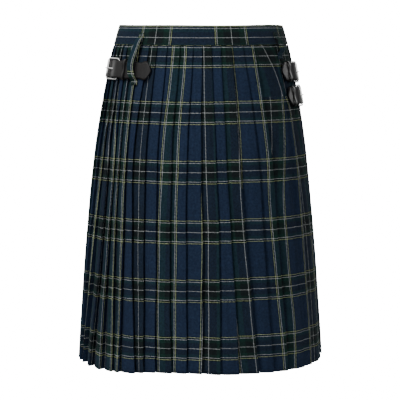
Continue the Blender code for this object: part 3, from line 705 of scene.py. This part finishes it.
def waistband():
    angle = np.arange(OVER_EDGE, UNDER_EDGE + 0.01, 1.5)
    half = BAND_THICK / 2
    #           drop, out, cloth's own length down
    outer = [(d, half + 0.35 * MM * math.sin(math.pi * d / BAND_HEIGHT)) for d in
             np.linspace(BAND_HEIGHT - 0.8 * MM, -0.2 * MM, 10)]
    arch = [(half * (1 - math.sin(t)) - TOP_RISE, half * math.cos(t))
            for t in np.radians((25, 60, 90, 120, 155))]
    inner = [(d, -half) for d in np.linspace(-0.2 * MM, BAND_HEIGHT - 0.8 * MM, 5)]
    foot = [(BAND_HEIGHT - 0.1 * MM, -half * 0.5), (BAND_HEIGHT - 0.1 * MM, half * 0.6)]
    outline = np.array(outer + arch + inner + foot)
    uneven = 0.3 * MM * np.sin(np.radians(angle * 5))[:, None]
    drop = outline[None, :, 0] + uneven * (outline[None, :, 0] < 5 * MM)
    out = outline[None, :, 1] + wrap_out(angle, 0.0)[:, None]
    turn = angle[:, None] * np.ones(drop.shape)
    flat = ring(turn, np.clip(drop, 0, 1), out)
    points = np.concatenate([flat, height(turn, drop)[:, :, None]], axis=2)
    steps = np.linalg.norm(np.diff(ring(angle, BAND_HEIGHT / 2), axis=0), axis=1)
    way = np.concatenate([[0.0], np.cumsum(steps)])
    way = way - np.interp(360 + BAND_WARP_LINE, angle, way)
    closed = np.concatenate([outline, outline[:1]])
    down = BAND_WEFT_LINE - closed[:, 0]
    u = np.repeat(way[:, None], len(closed), axis=1)
    v = np.repeat(-down[None, :], len(angle), axis=0)
    piece = grid("waistband_cloth", points, both_sides(u), both_sides(v), CLOTH, closed=True, caps=True)
    return piece, float(way[-1] - way[0])


band, band_long = waistband()
print("waistband:", round(band_long, 3), "m long,", triangles(band), "triangles")

# %% [markdown]
# ## Strips with round edges
# Belt loops, straps, tabs and keepers are all flat strips that follow a path over the
# cloth. A curve with a bevel would twist on the slope of the hips. So the path is
# drawn flat, as a way along and a height above the folds, and each of its points is
# carried onto the form together with its width. A seat knows where a strap lies and
# which way it runs.

# %% Strips on the form
SLOPE_ANGLE, SLOPE_DROP = 0.5, 15 * MM
STRIP_CORNER = 0.45 * MM


def skin(angle, drop, out):
    """A point of the form in space, moved out square to its sloping surface."""
    def at(a, d):
        return np.concatenate([ring(a, d), height(a, d)[..., None]], axis=-1)
    across = at(angle + SLOPE_ANGLE, drop) - at(angle - SLOPE_ANGLE, drop)
    down = at(angle, drop + SLOPE_DROP) - at(angle, drop - SLOPE_DROP)
    normal = np.cross(down, across)
    normal = normal / np.linalg.norm(normal, axis=-1, keepdims=True)
    return at(angle, drop) + normal * np.asarray(out)[..., None]


def angle_after(angle, drop, way):
    """The angle reached by going a distance round the form from an angle."""
    stops = np.linspace(angle - 80, angle + 80, 641)
    spots = ring(stops, drop)
    far = np.concatenate([[0.0], np.cumsum(np.linalg.norm(np.diff(spots, axis=0), axis=1))])
    return np.interp(np.interp(angle, stops, far) + way, far, stops)


class Seat:
    """The place of one strap. "Along" runs from the heel bar towards the tip."""

    def __init__(self, turn, heel, drop, slope):
        self.turn, self.heel, self.drop, self.slope = turn, heel, drop, slope

    def at(self, along, out, down):
        along, out, down = np.broadcast_arrays(*(np.asarray(w, float) for w in (along, out, down)))
        drop = self.drop + down - self.slope * along
        way = self.turn * (along + self.slope * down)
        return skin(angle_after(self.heel, self.drop, way), drop, out)

    def way_to(self, angle):
        stops = np.linspace(self.heel, angle, 60)
        spots = ring(stops, self.drop)
        total = float(np.sum(np.linalg.norm(np.diff(spots, axis=0), axis=1)))
        return self.turn * math.copysign(total, angle - self.heel)


# %% Strip helper
def fine_path(rows, step):
    """A smooth line through rows of (along, out, half width), with a point each step."""
    rows = np.array(rows, float)
    far = np.concatenate([[0.0], np.cumsum(np.hypot(*np.diff(rows[:, :2], axis=0).T))])
    count = max(4, int(far[-1] / step))
    stops = np.linspace(0, far[-1], count)
    return np.stack([through(stops, far, rows[:, i]) for i in range(3)], axis=1), stops


def strip(name, rows, thick, where, look, step=1.2 * MM, across=8, shift=(0.0, 0.0), painted_dark_to=-1.0):
    """A flat strip with rounded edges, along a path on a seat. Up to the given point along
    the path, leather counts as all edge: painted shade, dark and without coat."""
    path, far = fine_path(rows, step)
    ahead = np.gradient(path[:, :2], axis=0)
    ahead /= np.linalg.norm(ahead, axis=1)[:, None]
    normal = np.stack([-ahead[:, 1], ahead[:, 0]], axis=1)
    corner = min(STRIP_CORNER, thick * 0.45)
    section = []
    for end in (-1, 1):
        section += [(t, -end * thick / 2, 0.0) for t in np.linspace(end, -end, across)]
        for a in (-0.9 * end, -0.0001 * end, 0.9 * end):
            up = math.sin(a) * (thick / 2 - corner) + math.copysign(corner, a) * 0.7
            section.append((-end, up, corner * 0.8))
    section = np.array(section)
    inset = path[:, 2:3] - corner
    side = section[None, :, 0] * inset + np.sign(section[None, :, 0]) * section[None, :, 2]
    up = np.repeat(section[None, :, 1], len(path), axis=0)
    along = path[:, 0:1] + normal[:, 0:1] * up
    out = path[:, 1:2] + normal[:, 1:2] * up
    points = where(along, out, side)
    first = np.concatenate([side, side[:, :1]], axis=1)
    u = both_sides(first + shift[0])
    v = both_sides(np.repeat(far[:, None], first.shape[1], axis=1) + shift[1])
    ends = np.minimum(far, far[-1] - far)[:, None]
    rim = np.minimum(path[:, 2:3] - np.abs(side), ends + 0.2 * MM)
    # Up to the given point the rim is zero, so the leather there is painted dark and loses its coat, as
    # painted shade.
    rim = rim * (path[:, 0:1] > painted_dark_to)
    return grid(name, points, u, v, look, closed=True, caps=True, rim=rim)


# %% [markdown]
# ## Belt loops
# Two strips of tartan, folded to 13 mm, are sewn at both ends and stand off the cloth
# between, so that a wide belt passes behind them. The left one also bridges the strap.

# %% Belt loops
LOOP_WIDE, LOOP_THICK = 13 * MM, 1.5 * MM
LOOP_SEWN, LOOP_BEND, LOOP_SHOULDER = 9 * MM, 3 * MM, 5.6 * MM
LOOP_BOW = ((0.32, 0.93), (0.50, 1.0), (0.70, 0.97))
CLOTH_TOP = 0.9 * MM
#    name, node, angle, first and last drop, stand-off, sideways slack, tartan across, down
LOOPS = (
    ("loop_cloth_left", "belt_loop_left", -43.0, 0.013, 0.105, 10.0 * MM, -7 * MM, 0.024, 0.012),
    ("loop_cloth_right", "belt_loop_right", 60.5, 0.012, 0.060, 8.0 * MM, 1 * MM, 0.020, 0.093),
)


def belt_loop(name, angle, first, last, stand_off, slack, shift):
    seat = CLOTH_TOP + LOOP_THICK / 2
    rows = [(first, seat), (first + LOOP_SEWN, seat + 0.3 * MM),
            (first + LOOP_SEWN + LOOP_BEND, LOOP_SHOULDER)]
    rows += [(first + share * (last - first), stand_off * rise) for share, rise in LOOP_BOW]
    rows += [(last - LOOP_SEWN - LOOP_BEND, LOOP_SHOULDER),
             (last - LOOP_SEWN, seat + 0.3 * MM), (last, seat)]

    def where(drop, out, side):
        swell = np.sin(math.pi * np.clip((drop - first) / (last - first), 0, 1) ** 1.5) ** 2
        return skin(angle_after(angle, (first + last) / 2, side + slack * swell), drop, out)
    return strip(name, [(*row, LOOP_WIDE / 2) for row in rows], LOOP_THICK, where, CLOTH, shift=shift)


loops = []
for name, node, angle, first, last, stand_off, slack, across, down in LOOPS:
    loops.append(belt_loop(name, angle, first, last, stand_off, slack, (across, down)))
print("belt loops:", [triangles(piece) for piece in loops])

# %% [markdown]
# ## Leather
# The straps are dark, smooth-grained hide with black burnished edges. A fine cell
# pattern gives the pores, a slower noise gives the uneven dye, and the strips carry a
# value for how far each point is from the edge. It blackens the rim and takes the
# polish, a thin coat, away from it.

# %% Leather material
LEATHER_FACE = (0.0075, 0.0070, 0.0070)
LEATHER_WORN = (0.017, 0.0160, 0.0155)
LEATHER_EDGE = (0.004, 0.004, 0.005)


def leather_group():
    tree, enter, leave = new_group(
        "leather", [("Place", "NodeSocketVector", None), ("Rim", "NodeSocketFloat", 1.0)],
        [("Color", "NodeSocketColor"), ("Roughness", "NodeSocketFloat"),
         ("Height", "NodeSocketFloat"), ("Polish", "NodeSocketFloat")])
    place = enter.outputs["Place"]
    pores = add_node(tree, "ShaderNodeTexVoronoi", {"Scale": 1100.0, "Vector": place})
    dye = noise(tree, place, 90.0, 3.0)
    scuff = noise(tree, place, 420.0, 4.0)
    face = mix(tree, dye, LEATHER_FACE, LEATHER_WORN)
    face = mix(tree, maths(tree, "MULTIPLY", scuff, 0.35), face, LEATHER_EDGE)
    edge = add_node(tree, "ShaderNodeMapRange", {"Value": enter.outputs["Rim"], "From Min": 1.2 * MM,
                                                 "From Max": 2.6 * MM}).outputs[0]
    colour = mix(tree, edge, LEATHER_EDGE, face)
    rough = weighed(tree, 0.42, (scuff, 0.25))
    high = weighed(tree, 0.0, (pores.outputs["Distance"], 1.0), (scuff, 0.6))
    feed(tree, leave, {"Color": colour, "Roughness": rough, "Height": high, "Polish": edge})
    return tree


LEATHER_GROUP = leather_group()


def leather_material():
    look, tree, shader = material("strap leather", 0.45)
    place = add_node(tree, "ShaderNodeTexCoord")
    rim = add_node(tree, "ShaderNodeAttribute", attribute_name="rim")
    hide = add_node(tree, "ShaderNodeGroup", node_tree=LEATHER_GROUP)
    feed(tree, hide, {"Place": place.outputs["Object"], "Rim": rim.outputs["Fac"]})
    bump(tree, shader, hide.outputs["Height"], 0.35, 0.2 * MM)
    feed(tree, shader, {"Base Color": hide.outputs["Color"], "Roughness": hide.outputs["Roughness"],
                        "Specular IOR Level": 0.15, "Coat Weight": hide.outputs["Polish"],
                        "Coat Roughness": 0.45, "Coat IOR": 1.25})
    return look


LEATHER = leather_material()
print("leather ready")

# %% [markdown]
# ## Straps, tabs and keepers
# Each strap runs from where it is sewn, under the roller, up over the heel bar, through
# the keeper and out to its pointed tip. The tab is a strip folded round the heel bar.
# The left strap comes from the under apron through a slit, and the two on the right
# are sewn to the over apron. The heights are worked out from the thickness of what
# lies beneath, as a saddler would stack them. On the right, where a strap bends over
# its bar and under its keeper, it is painted black and has no coat, as painted shade.

# %% Strap sizes
STRAP_WIDE, LEATHER_THICK = 32 * MM, 2.0 * MM
CHAPE_WIDE, CHAPE_NECK, CHAPE_THICK, CHAPE_LONG = 33.5 * MM, 28 * MM, 1.2 * MM, 28 * MM
KEEPER_WIDE, KEEPER_THICK, KEEPER_AT, KEEPER_CORNER = 7 * MM, 1.2 * MM, 15 * MM, 1.5 * MM
EASE, GAP = 0.3 * MM, 0.3 * MM
WIRE_R, ROLLER_R, ROLLER_HOLE_R = 1.5 * MM, 2.8 * MM, 1.8 * MM
FRAME_LONG, FRAME_HALF_HIGH, FRAME_CORNER_R = 33 * MM, 18.5 * MM, 3.2 * MM
PRONG_R, PRONG_EYE_R = 1.25 * MM, 2.35 * MM
TIP_LONG = 7.5 * MM
TAIL_HALF, TAIL_LIFT = 14.5 * MM, 2.5 * MM
HEEL_CLIMB = ((-24, 0.06), (-18, 0.28), (-12, 0.60), (-6, 0.88), (-1, 1.0), (3, 0.93))
HEEL_FALL = ((8, 0.33), (12, 0.0))
SLIT_PASS = ((-13.0, 0.0), (-10.5, 0.09), (-2.5, 0.91), (1.0, 1.0))
HEEL_OUT = CLOTH_TOP + CHAPE_THICK + GAP + EASE + WIRE_R
EYE_R = WIRE_R + GAP + EASE + CHAPE_THICK / 2
UNDER_CLOTH = 0.75 * MM + GAP + LEATHER_THICK / 2 + EASE
ON_CLOTH = CLOTH_TOP + LEATHER_THICK / 2 + EASE
ON_CHAPE = CLOTH_TOP + 2 * CHAPE_THICK + 2 * GAP + LEATHER_THICK / 2
OVER_HEEL = HEEL_OUT + EYE_R + CHAPE_THICK / 2 + GAP + LEATHER_THICK / 2
ROLLER_OUT = ON_CLOTH + LEATHER_THICK / 2 + GAP + EASE + ROLLER_R
#       ending          turn  heel   drop   slope  free   root angle  painted dark up to
STRAPS = (
    ("left", 1, -60.0, 0.0785, -0.02, 0.076, -118.0, -1.0),
    ("right_upper", -1, 75.0, 0.084, 0.05, 0.041, 122.0, 0.017),
    ("right_lower", -1, 75.5, 0.1275, 0.00, 0.037, 122.0, 0.017),
)


# %% Paths of the leather
def evenly(first, last, step):
    return list(np.linspace(first, last, max(2, round(abs(last - first) / step) + 1)))


def strap_rows(seat, name, free, root):
    half = STRAP_WIDE / 2
    end = seat.way_to(root)
    if name == "left":
        seam = seat.way_to(LEFT_SEAM - 360)
        inside = -PANEL_SET_BACK - UNDER_CLOTH
        rows = [(end, inside, half)]
        rows += [(seam + past * MM, inside + (ON_CLOTH - inside) * share, half)
                 for past, share in SLIT_PASS]
    else:
        edge = seat.way_to(OVER_EDGE)
        lift = float(wrap_out(np.array(OVER_EDGE), seat.drop)) + UNDER_CLOTH
        rows = [(way, lift, half) for way in evenly(end, edge + 3.5 * MM, 8 * MM)]
        rows.append((edge + 12 * MM, ON_CLOTH, half))
    rows += [(way, ON_CLOTH, half)
             for way in evenly(rows[-1][0], -FRAME_LONG + 1 * MM, 8 * MM)[1:]]
    for low, passage in ((ON_CLOTH, HEEL_CLIMB), (ON_CHAPE, HEEL_FALL)):
        rows += [(way * MM, low + (OVER_HEEL - low) * share, half) for way, share in passage]
    shoulder = free - TIP_LONG
    rows += [(way * MM, ON_CHAPE, half) for way in (22, 31) if way * MM < shoulder - 4 * MM]
    tail = ON_CHAPE
    if shoulder > CHAPE_LONG:
        tail = ON_CLOTH + EASE
        half = TAIL_HALF
        rows += [(way * MM, tail, half) for way in (38, 46, 54) if way * MM < shoulder - 4 * MM]
        tail += TAIL_LIFT
    rows += [(shoulder, tail, half), (shoulder + 0.30 * TIP_LONG, tail, half * 0.80),
             (shoulder + 0.65 * TIP_LONG, tail, half * 0.47), (free, tail, half * 0.10)]
    return rows


def chape_rows():
    low = CLOTH_TOP + CHAPE_THICK / 2
    high = low + CHAPE_THICK + GAP
    path = [(CHAPE_LONG, low), (22 * MM, low), (11 * MM, low), (2 * MM, low)]
    for turn in (235, 205, 175, 145, 115, 85, 60):
        a = math.radians(turn)
        path.append((EYE_R * math.cos(a), HEEL_OUT + EYE_R * math.sin(a)))
    path += [(5.5 * MM, high + 1.2 * MM), (11 * MM, high), (22 * MM, high), (CHAPE_LONG, high)]
    return [(x, y, (CHAPE_WIDE if x > 7 * MM else CHAPE_NECK) / 2) for x, y in path]


def keeper(name, seat):
    side = CHAPE_WIDE / 2 + GAP + KEEPER_THICK / 2
    top = ON_CHAPE + LEATHER_THICK / 2 + GAP + KEEPER_THICK / 2
    corner = KEEPER_CORNER
    path = [(-side, CLOTH_TOP), (-side, top - corner), (-side + corner, top), (0, top),
            (side - corner, top), (side, top - corner), (side, CLOTH_TOP)]
    middle = KEEPER_AT + KEEPER_WIDE / 2
    rows = [(x, y, KEEPER_WIDE / 2) for x, y in path]

    def where(down, out, along):
        return seat.at(along + middle, out, down)
    return strip(name, rows, KEEPER_THICK, where, LEATHER, step=0.8 * MM, across=5)


# %% Cut the leather
seats, straps, tabs, keepers = {}, {}, {}, {}
for name, turn, heel, drop, slope, free, root, painted_dark_to in STRAPS:
    seat = seats[name] = Seat(turn, heel, drop, slope)
    rows = strap_rows(seat, name, free, root)
    straps[name] = strip("leather_strap_" + name, rows, LEATHER_THICK, seat.at, LEATHER, painted_dark_to=painted_dark_to)
    tabs[name] = strip("leather_tab_" + name, chape_rows(), CHAPE_THICK, seat.at, LEATHER, step=0.7 * MM)
    keepers[name] = keeper("leather_keeper_" + name, seat)
leather = [*straps.values(), *tabs.values(), *keepers.values()]
print("leather:", sum(triangles(piece) for piece in leather), "triangles")

# %% [markdown]
# ## Buckles
# A roller buckle is a bent wire frame, a tube that turns on its front bar, and a prong
# that hangs on the heel bar and rests on the roller. All three are drawn in the plane
# of the buckle. A tube helper sweeps a ring along a path and can vary its radius, so
# the prong tapers to its point.

# %% Metal material
def steel_material():
    look, tree, shader = material("polished nickel", 0.2, 1.0)
    place = add_node(tree, "ShaderNodeTexCoord").outputs["Object"]
    smear, scratch = noise(tree, place, 260.0, 3.0), noise(tree, place, 2600.0, 2.0)
    colour = mix(tree, smear, (0.70, 0.70, 0.68), (0.86, 0.86, 0.85))
    feed(tree, shader, {"Roughness": weighed(tree, 0.10, (smear, 0.22)), "Base Color": colour})
    bump(tree, shader, scratch, 0.12, 0.05 * MM)
    return look


STEEL = steel_material()
print("nickel ready")


# %% Tube helper
def tube(name, path, radii, look, closed=False, sides=14):
    """A ring swept along a path of points, without twist."""
    path = np.array(path, float)
    count = len(path)
    ahead = np.roll(path, -1, 0) - np.roll(path, 1, 0) if closed else np.gradient(path, axis=0)
    ahead /= np.linalg.norm(ahead, axis=1)[:, None]
    side = np.cross(ahead[0], (0.31, 0.62, 0.72))
    rings = []
    for i in range(count):
        side = side - ahead[i] * side.dot(ahead[i])
        side /= np.linalg.norm(side)
        other = np.cross(ahead[i], side)
        turn = np.linspace(0, 2 * math.pi, sides, endpoint=False)[:, None]
        rings.append(path[i] + radii[i] * (np.cos(turn) * side + np.sin(turn) * other))
    if closed:
        rings.append(rings[0])
    points = np.array(rings)[::-1]
    zero = np.zeros((len(points), sides, 2))
    piece = grid(name, points, zero, zero, look, closed=True, caps=not closed)
    weld(piece)
    return piece


def weld(piece):
    """Merges doubled points and points the faces outwards."""
    bm = bmesh.new()
    bm.from_mesh(piece.data)
    bmesh.ops.remove_doubles(bm, verts=bm.verts, dist=0.00001)
    bmesh.ops.recalc_face_normals(bm, faces=bm.faces)
    bm.to_mesh(piece.data)
    bm.free()


# %% Make the buckles
def buckle_axes(seat):
    heel = seat.at(0.0, HEEL_OUT, 0.0)
    front = seat.at(-FRAME_LONG, ROLLER_OUT, 0.0)
    down = seat.at(0.0, HEEL_OUT, STRAP_WIDE / 2) - seat.at(0.0, HEEL_OUT, -STRAP_WIDE / 2)
    forward = (front - heel) / np.linalg.norm(front - heel)
    down = down - forward * down.dot(forward)
    down /= np.linalg.norm(down)
    rise = np.cross(down, forward)
    if rise.dot(seat.at(0.0, HEEL_OUT + MM, 0.0) - heel) < 0:
        rise = -rise
    return heel, forward, down, rise, float(np.linalg.norm(front - heel))


def buckle(name, seat):
    heel, forward, down, rise, reach = buckle_axes(seat)

    def at(x, y, z=0.0):
        return heel + forward * x + down * y + rise * z
    r = FRAME_CORNER_R
    corners = ((reach - r, FRAME_HALF_HIGH - r, 0), (r, FRAME_HALF_HIGH - r, 90),
               (r, -FRAME_HALF_HIGH + r, 180), (reach - r, -FRAME_HALF_HIGH + r, 270))
    wire = []
    for x, y, start in corners:
        for turn in range(0, 91, 15):
            a = math.radians(start + turn)
            wire.append(at(x + r * math.cos(a), y + r * math.sin(a)))
    ring_wire = tube("buckle_wire_" + name, wire, [WIRE_R] * len(wire), STEEL, closed=True)
    half = FRAME_HALF_HIGH - 3.0 * MM
    rim = [(ROLLER_HOLE_R, half), (ROLLER_R - 0.5 * MM, half), (ROLLER_R - 0.15 * MM, half - 0.15 * MM),
           (ROLLER_R, half - 0.5 * MM)]
    profile = rim + [(r0, -y) for r0, y in rim[::-1]]
    turn = np.linspace(0, 2 * math.pi, 28, endpoint=False)
    points = np.array([[at(reach + r0 * math.cos(a), y, r0 * math.sin(a)) for a in turn]
                       for r0, y in profile + profile[:1]])
    zero = np.zeros((len(points), len(turn), 2))
    roller = grid("buckle_roller_" + name, points, zero, zero, STEEL, closed=True)
    weld(roller)
    over = ROLLER_R + GAP + PRONG_R
    eye = [(PRONG_EYE_R * math.cos(t), PRONG_EYE_R * math.sin(t))
           for t in np.radians(range(300, 59, -24))]
    finger = [(4.5 * MM, 2.5 * MM), (9 * MM, 2.3 * MM), (15 * MM, 2.7 * MM), (20 * MM, 3.3 * MM),
              (reach - 6 * MM, over - 0.4 * MM), (reach, over), (reach + 3.6 * MM, over - 0.5 * MM)]
    line = [at(x, 0.0, z) for x, z in eye + finger]
    radii = [0.55 * MM] + [0.6 * MM] * (len(eye) - 2) + [0.8 * MM, 1.0 * MM]
    radii += [PRONG_R] * 2 + [1.2 * MM] * 2 + [1.05 * MM, 0.6 * MM]
    prong = tube("buckle_prong_" + name, line, radii, STEEL)
    return ring_wire, roller, prong


buckles = {name: buckle(name, seat) for name, seat in seats.items()}
print("metal:", sum(triangles(p) for group in buckles.values() for p in group), "triangles")

# %% [markdown]
# ## Stitches
# Sewing shows as short threads in a row. They repeat along a line, so Geometry Nodes
# lay them: the line becomes a curve, is cut into equal steps, and a small thread is
# set on each step and turned along the line. The steps and the thread are the tree's
# named inputs. The finished rows are made plain meshes, because an export would drop
# instances.

# %% Stitch tree
def stitch_tree():
    tree = bpy.data.node_groups.new("stitches", "GeometryNodeTree")
    face = tree.interface
    face.new_socket("Line", in_out="INPUT", socket_type="NodeSocketGeometry")
    sockets = {}
    for label, kind in (("Step", "NodeSocketFloat"), ("Thread Length", "NodeSocketFloat"),
                        ("Thread Radius", "NodeSocketFloat"), ("Look", "NodeSocketMaterial")):
        sockets[label] = face.new_socket(label, in_out="INPUT", socket_type=kind).identifier
    face.new_socket("Stitches", in_out="OUTPUT", socket_type="NodeSocketGeometry")
    enter, leave = tree.nodes.new("NodeGroupInput"), tree.nodes.new("NodeGroupOutput")
    curve = add_node(tree, "GeometryNodeMeshToCurve", {"Mesh": enter.outputs["Line"]})
    steps = add_node(tree, "GeometryNodeResampleCurve", mode="LENGTH")
    feed(tree, steps, {"Curve": curve.outputs["Curve"], "Length": enter.outputs["Step"]})
    tangent = add_node(tree, "GeometryNodeInputTangent")
    turn = add_node(tree, "FunctionNodeAlignRotationToVector", {"Vector": tangent.outputs[0]}, axis="Z")
    thread = add_node(tree, "GeometryNodeMeshCylinder", {
        "Vertices": 7, "Radius": enter.outputs["Thread Radius"],
        "Depth": enter.outputs["Thread Length"]})
    place = add_node(tree, "GeometryNodeInstanceOnPoints", {
        "Points": steps.outputs["Curve"], "Instance": thread.outputs["Mesh"],
        "Rotation": turn.outputs["Rotation"]})
    real = add_node(tree, "GeometryNodeRealizeInstances", {"Geometry": place.outputs["Instances"]})
    look = add_node(tree, "GeometryNodeSetMaterial", {
        "Geometry": real.outputs["Geometry"], "Material": enter.outputs["Look"]})
    feed(tree, leave, {"Stitches": look.outputs["Geometry"]})
    return tree, sockets


STITCHES, STITCH_SOCKETS = stitch_tree()
print("stitch inputs:", *STITCH_SOCKETS)


# %% Rows of stitches
def stitch_rows(name, lines, step, long, radius, look):
    """Rows of stitches along lists of points, as one plain mesh."""
    verts, edges = [], []
    for line in lines:
        first = len(verts)
        verts += [tuple(p) for p in line]
        edges += [(first + i, first + i + 1) for i in range(len(line) - 1)]
    mesh = bpy.data.meshes.new(name + " line")
    mesh.from_pydata(verts, edges, [])
    guide = put(name + " line", mesh)
    nodes = guide.modifiers.new("stitches", "NODES")
    nodes.node_group = STITCHES
    for socket, value in zip(STITCH_SOCKETS.values(), (step, long, radius, look)):
        nodes[socket] = value
    shown = guide.evaluated_get(bpy.context.evaluated_depsgraph_get())
    made = bpy.data.meshes.new_from_object(shown)
    bpy.data.objects.remove(guide)
    made.name = name
    piece = link(name, made)
    print(name, len(made.polygons), "faces")
    return piece


def thread_material(name, colour):
    look, tree, shader = material(name, 0.7)
    place = add_node(tree, "ShaderNodeTexCoord")
    ply = noise(tree, place.outputs["Object"], 3000.0, 2.0)
    shade = mix(tree, ply, tuple(c * 0.6 for c in colour), tuple(c * 1.4 for c in colour))
    feed(tree, shader, {"Base Color": shade, "Sheen Weight": 0.2})
    bump(tree, shader, ply, 0.3, 0.1 * MM)
    return look


NAVY_THREAD = thread_material("navy thread", (0.020, 0.028, 0.050))
BLACK_THREAD = thread_material("black thread", (0.016, 0.015, 0.015))

# %% Sewn rows
band_angles = np.arange(LEFT_SEAM + 1, OVER_EDGE + 359, 1.5)
BAND_SEW_DROP, BAND_SEW_OUT = 32.5 * MM, 1.15 * MM
band_line = [(*ring(a, BAND_SEW_DROP, float(wrap_out(np.array(a), 0.0)) + BAND_SEW_OUT),
              float(height(a, BAND_SEW_DROP))) for a in band_angles]
band_stitches = stitch_rows("waistband_stitches", [band_line], 4.2 * MM, 2.0 * MM, 0.22 * MM,
                            NAVY_THREAD)

loop_lines = []
for name, node, angle, first, last, stand_off, slack, across, down in LOOPS:
    sides = np.linspace(-LOOP_WIDE / 2 + 1 * MM, LOOP_WIDE / 2 - 1 * MM, 6)
    turned = angle_after(angle, (first + last) / 2, sides)
    for drop in (first + 2 * MM, first + 4.5 * MM, last - 2 * MM, last - 4.5 * MM):
        loop_lines.append([skin(a, np.array(drop), CLOTH_TOP + LOOP_THICK + 0.12 * MM)
                           for a in turned])
loop_stitches = stitch_rows("loop_stitches", loop_lines, 2.2 * MM, 1.5 * MM, 0.25 * MM, NAVY_THREAD)

strap_stitches = {}
for name, turn, heel, drop, slope, free, root, painted_dark_to in STRAPS:
    seat = seats[name]
    inset = STRAP_WIDE / 2 - 3 * MM
    rows, _ = fine_path(strap_rows(seat, name, free, root), 2 * MM)
    if name == "left":
        rows = rows[rows[:, 0] > seat.way_to(LEFT_SEAM - 360) + 4 * MM]
    lines = [[seat.at(x, y + LEATHER_THICK / 2 + 0.05 * MM, sign * min(inset, half - 3 * MM))
              for x, y, half in rows if half > 8 * MM] for sign in (1, -1)]
    strap_stitches[name] = stitch_rows("strap_stitches_" + name, lines, 3.4 * MM, 2.3 * MM,
                                       0.28 * MM, BLACK_THREAD)

# %% [markdown]
# ## Which piece stands for which solid
# Every piece moves with the one body and takes the place of the plain solid that it
# was fitted to.

# %% Hand the pieces over
def stand_for(piece, slot, *nodes):
    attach(piece, BODY)
    if nodes:
        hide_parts(*nodes)


cloths = {"pleated_back": pleats, "over_apron": over_cloth, "under_apron": under_cloth,
          "waistband": band}
cloths.update((row[1], piece) for piece, row in zip(loops, LOOPS))
for node, piece in cloths.items():
    stand_for(piece, "cloth", node)
for name in seats:
    stand_for(straps[name], "leather", "strap_" + name)
    stand_for(tabs[name], "leather", "chape_" + name)
    stand_for(keepers[name], "leather", "keeper_" + name)
    for piece, node in zip(buckles[name], ("buckle_frame_", "roller_", "prong_")):
        stand_for(piece, "buckle", node + name)
    stand_for(strap_stitches[name], "leather")
stand_for(band_stitches, "cloth")
stand_for(loop_stitches, "cloth")

print("pieces handed over")

# %% [markdown]
# ## Room, light and camera
# The kilt is held at waist height with nobody in it, in front of white. Broad soft
# light from the camera's side and above keeps the cloth's own colours, and the folds
# shade themselves. A third light at the far right shows only in what shines, so that
# the straps there get a pale face and the cloth stays as it is. The room looks pure
# white to the camera, but lights the kilt much less. The camera stands nearly four
# metres behind the wearer, a little above the waist, and looks slightly down.

# %% Stage
FLOOR_DROP, FLOOR_HALF, WHITE_SEEN = 1.02, 30.0, 20.0


def stage():
    mesh = bpy.data.meshes.new("floor")
    corners = [(x * FLOOR_HALF, y * FLOOR_HALF, -FLOOR_DROP)
               for x, y in ((-1, -1), (1, -1), (1, 1), (-1, 1))]
    mesh.from_pydata(corners, [], [(0, 1, 2, 3)])
    look, tree, shader = material("floor", 0.9)
    rays = add_node(tree, "ShaderNodeLightPath")
    glow = maths(tree, "MULTIPLY", rays.outputs["Is Camera Ray"], WHITE_SEEN)
    feed(tree, shader, {"Base Color": (0.9, 0.9, 0.9, 1.0), "Emission Color": (1.0, 1.0, 1.0, 1.0),
                        "Emission Strength": glow})
    link("floor", mesh, look)


def aimed(name, data, place, aim):
    """A light or a camera at a place, turned towards a point."""
    thing = put(name, data)
    thing.location = place
    thing.rotation_euler = (Vector(aim) - Vector(place)).to_track_quat("-Z", "Y").to_euler()
    return thing


def soft_light(name, place, aim, size, power):
    lamp = bpy.data.lights.new(name, "AREA")
    lamp.shape = "DISK"
    lamp.size = size
    lamp.energy = power
    return aimed(name, lamp, place, aim)


def studio(light, mirrored, seen):
    """A white room: soft light, brighter in what shines, and pure white to the camera."""
    world = bpy.data.worlds.new("studio")
    world.use_nodes = True
    tree = world.node_tree
    rays = add_node(tree, "ShaderNodeLightPath").outputs
    strength = weighed(tree, light, (rays["Is Glossy Ray"], mirrored), (rays["Is Camera Ray"], seen))
    feed(tree, tree.nodes["Background"], {"Color": (1.0, 1.0, 1.0, 1.0), "Strength": strength})
    bpy.context.scene.world = world


stage()
studio(0.05, 1.2, WHITE_SEEN)
soft_light("key", (-1.2, -1.6, 1.5), (0, 0, -0.1), 0.6, 33)
soft_light("fill", (1.8, -2.2, 1.6), (0, 0, -0.1), 1.8, 12)
window = soft_light("window", (2.1, 1.3, 0.6), (0.2, 0, -0.1), 1.6, 15)
window.visible_diffuse = False
print("three lights and a pale room")

# %% Camera
CAMERA_PLACE = (-0.0009, -3.9, 0.10)
CAMERA_AIM = (-0.0009, 0.0, -0.3213)
FOCAL_PIXELS, FRAME_PIXELS = 2139.0, 400.0
lens = bpy.data.cameras.new("camera")
lens.sensor_width = 36.0
lens.lens = 36.0 * FOCAL_PIXELS / FRAME_PIXELS
bpy.context.scene.camera = aimed("camera", lens, CAMERA_PLACE, CAMERA_AIM)
print("camera:", round(lens.lens, 1), "mm lens")
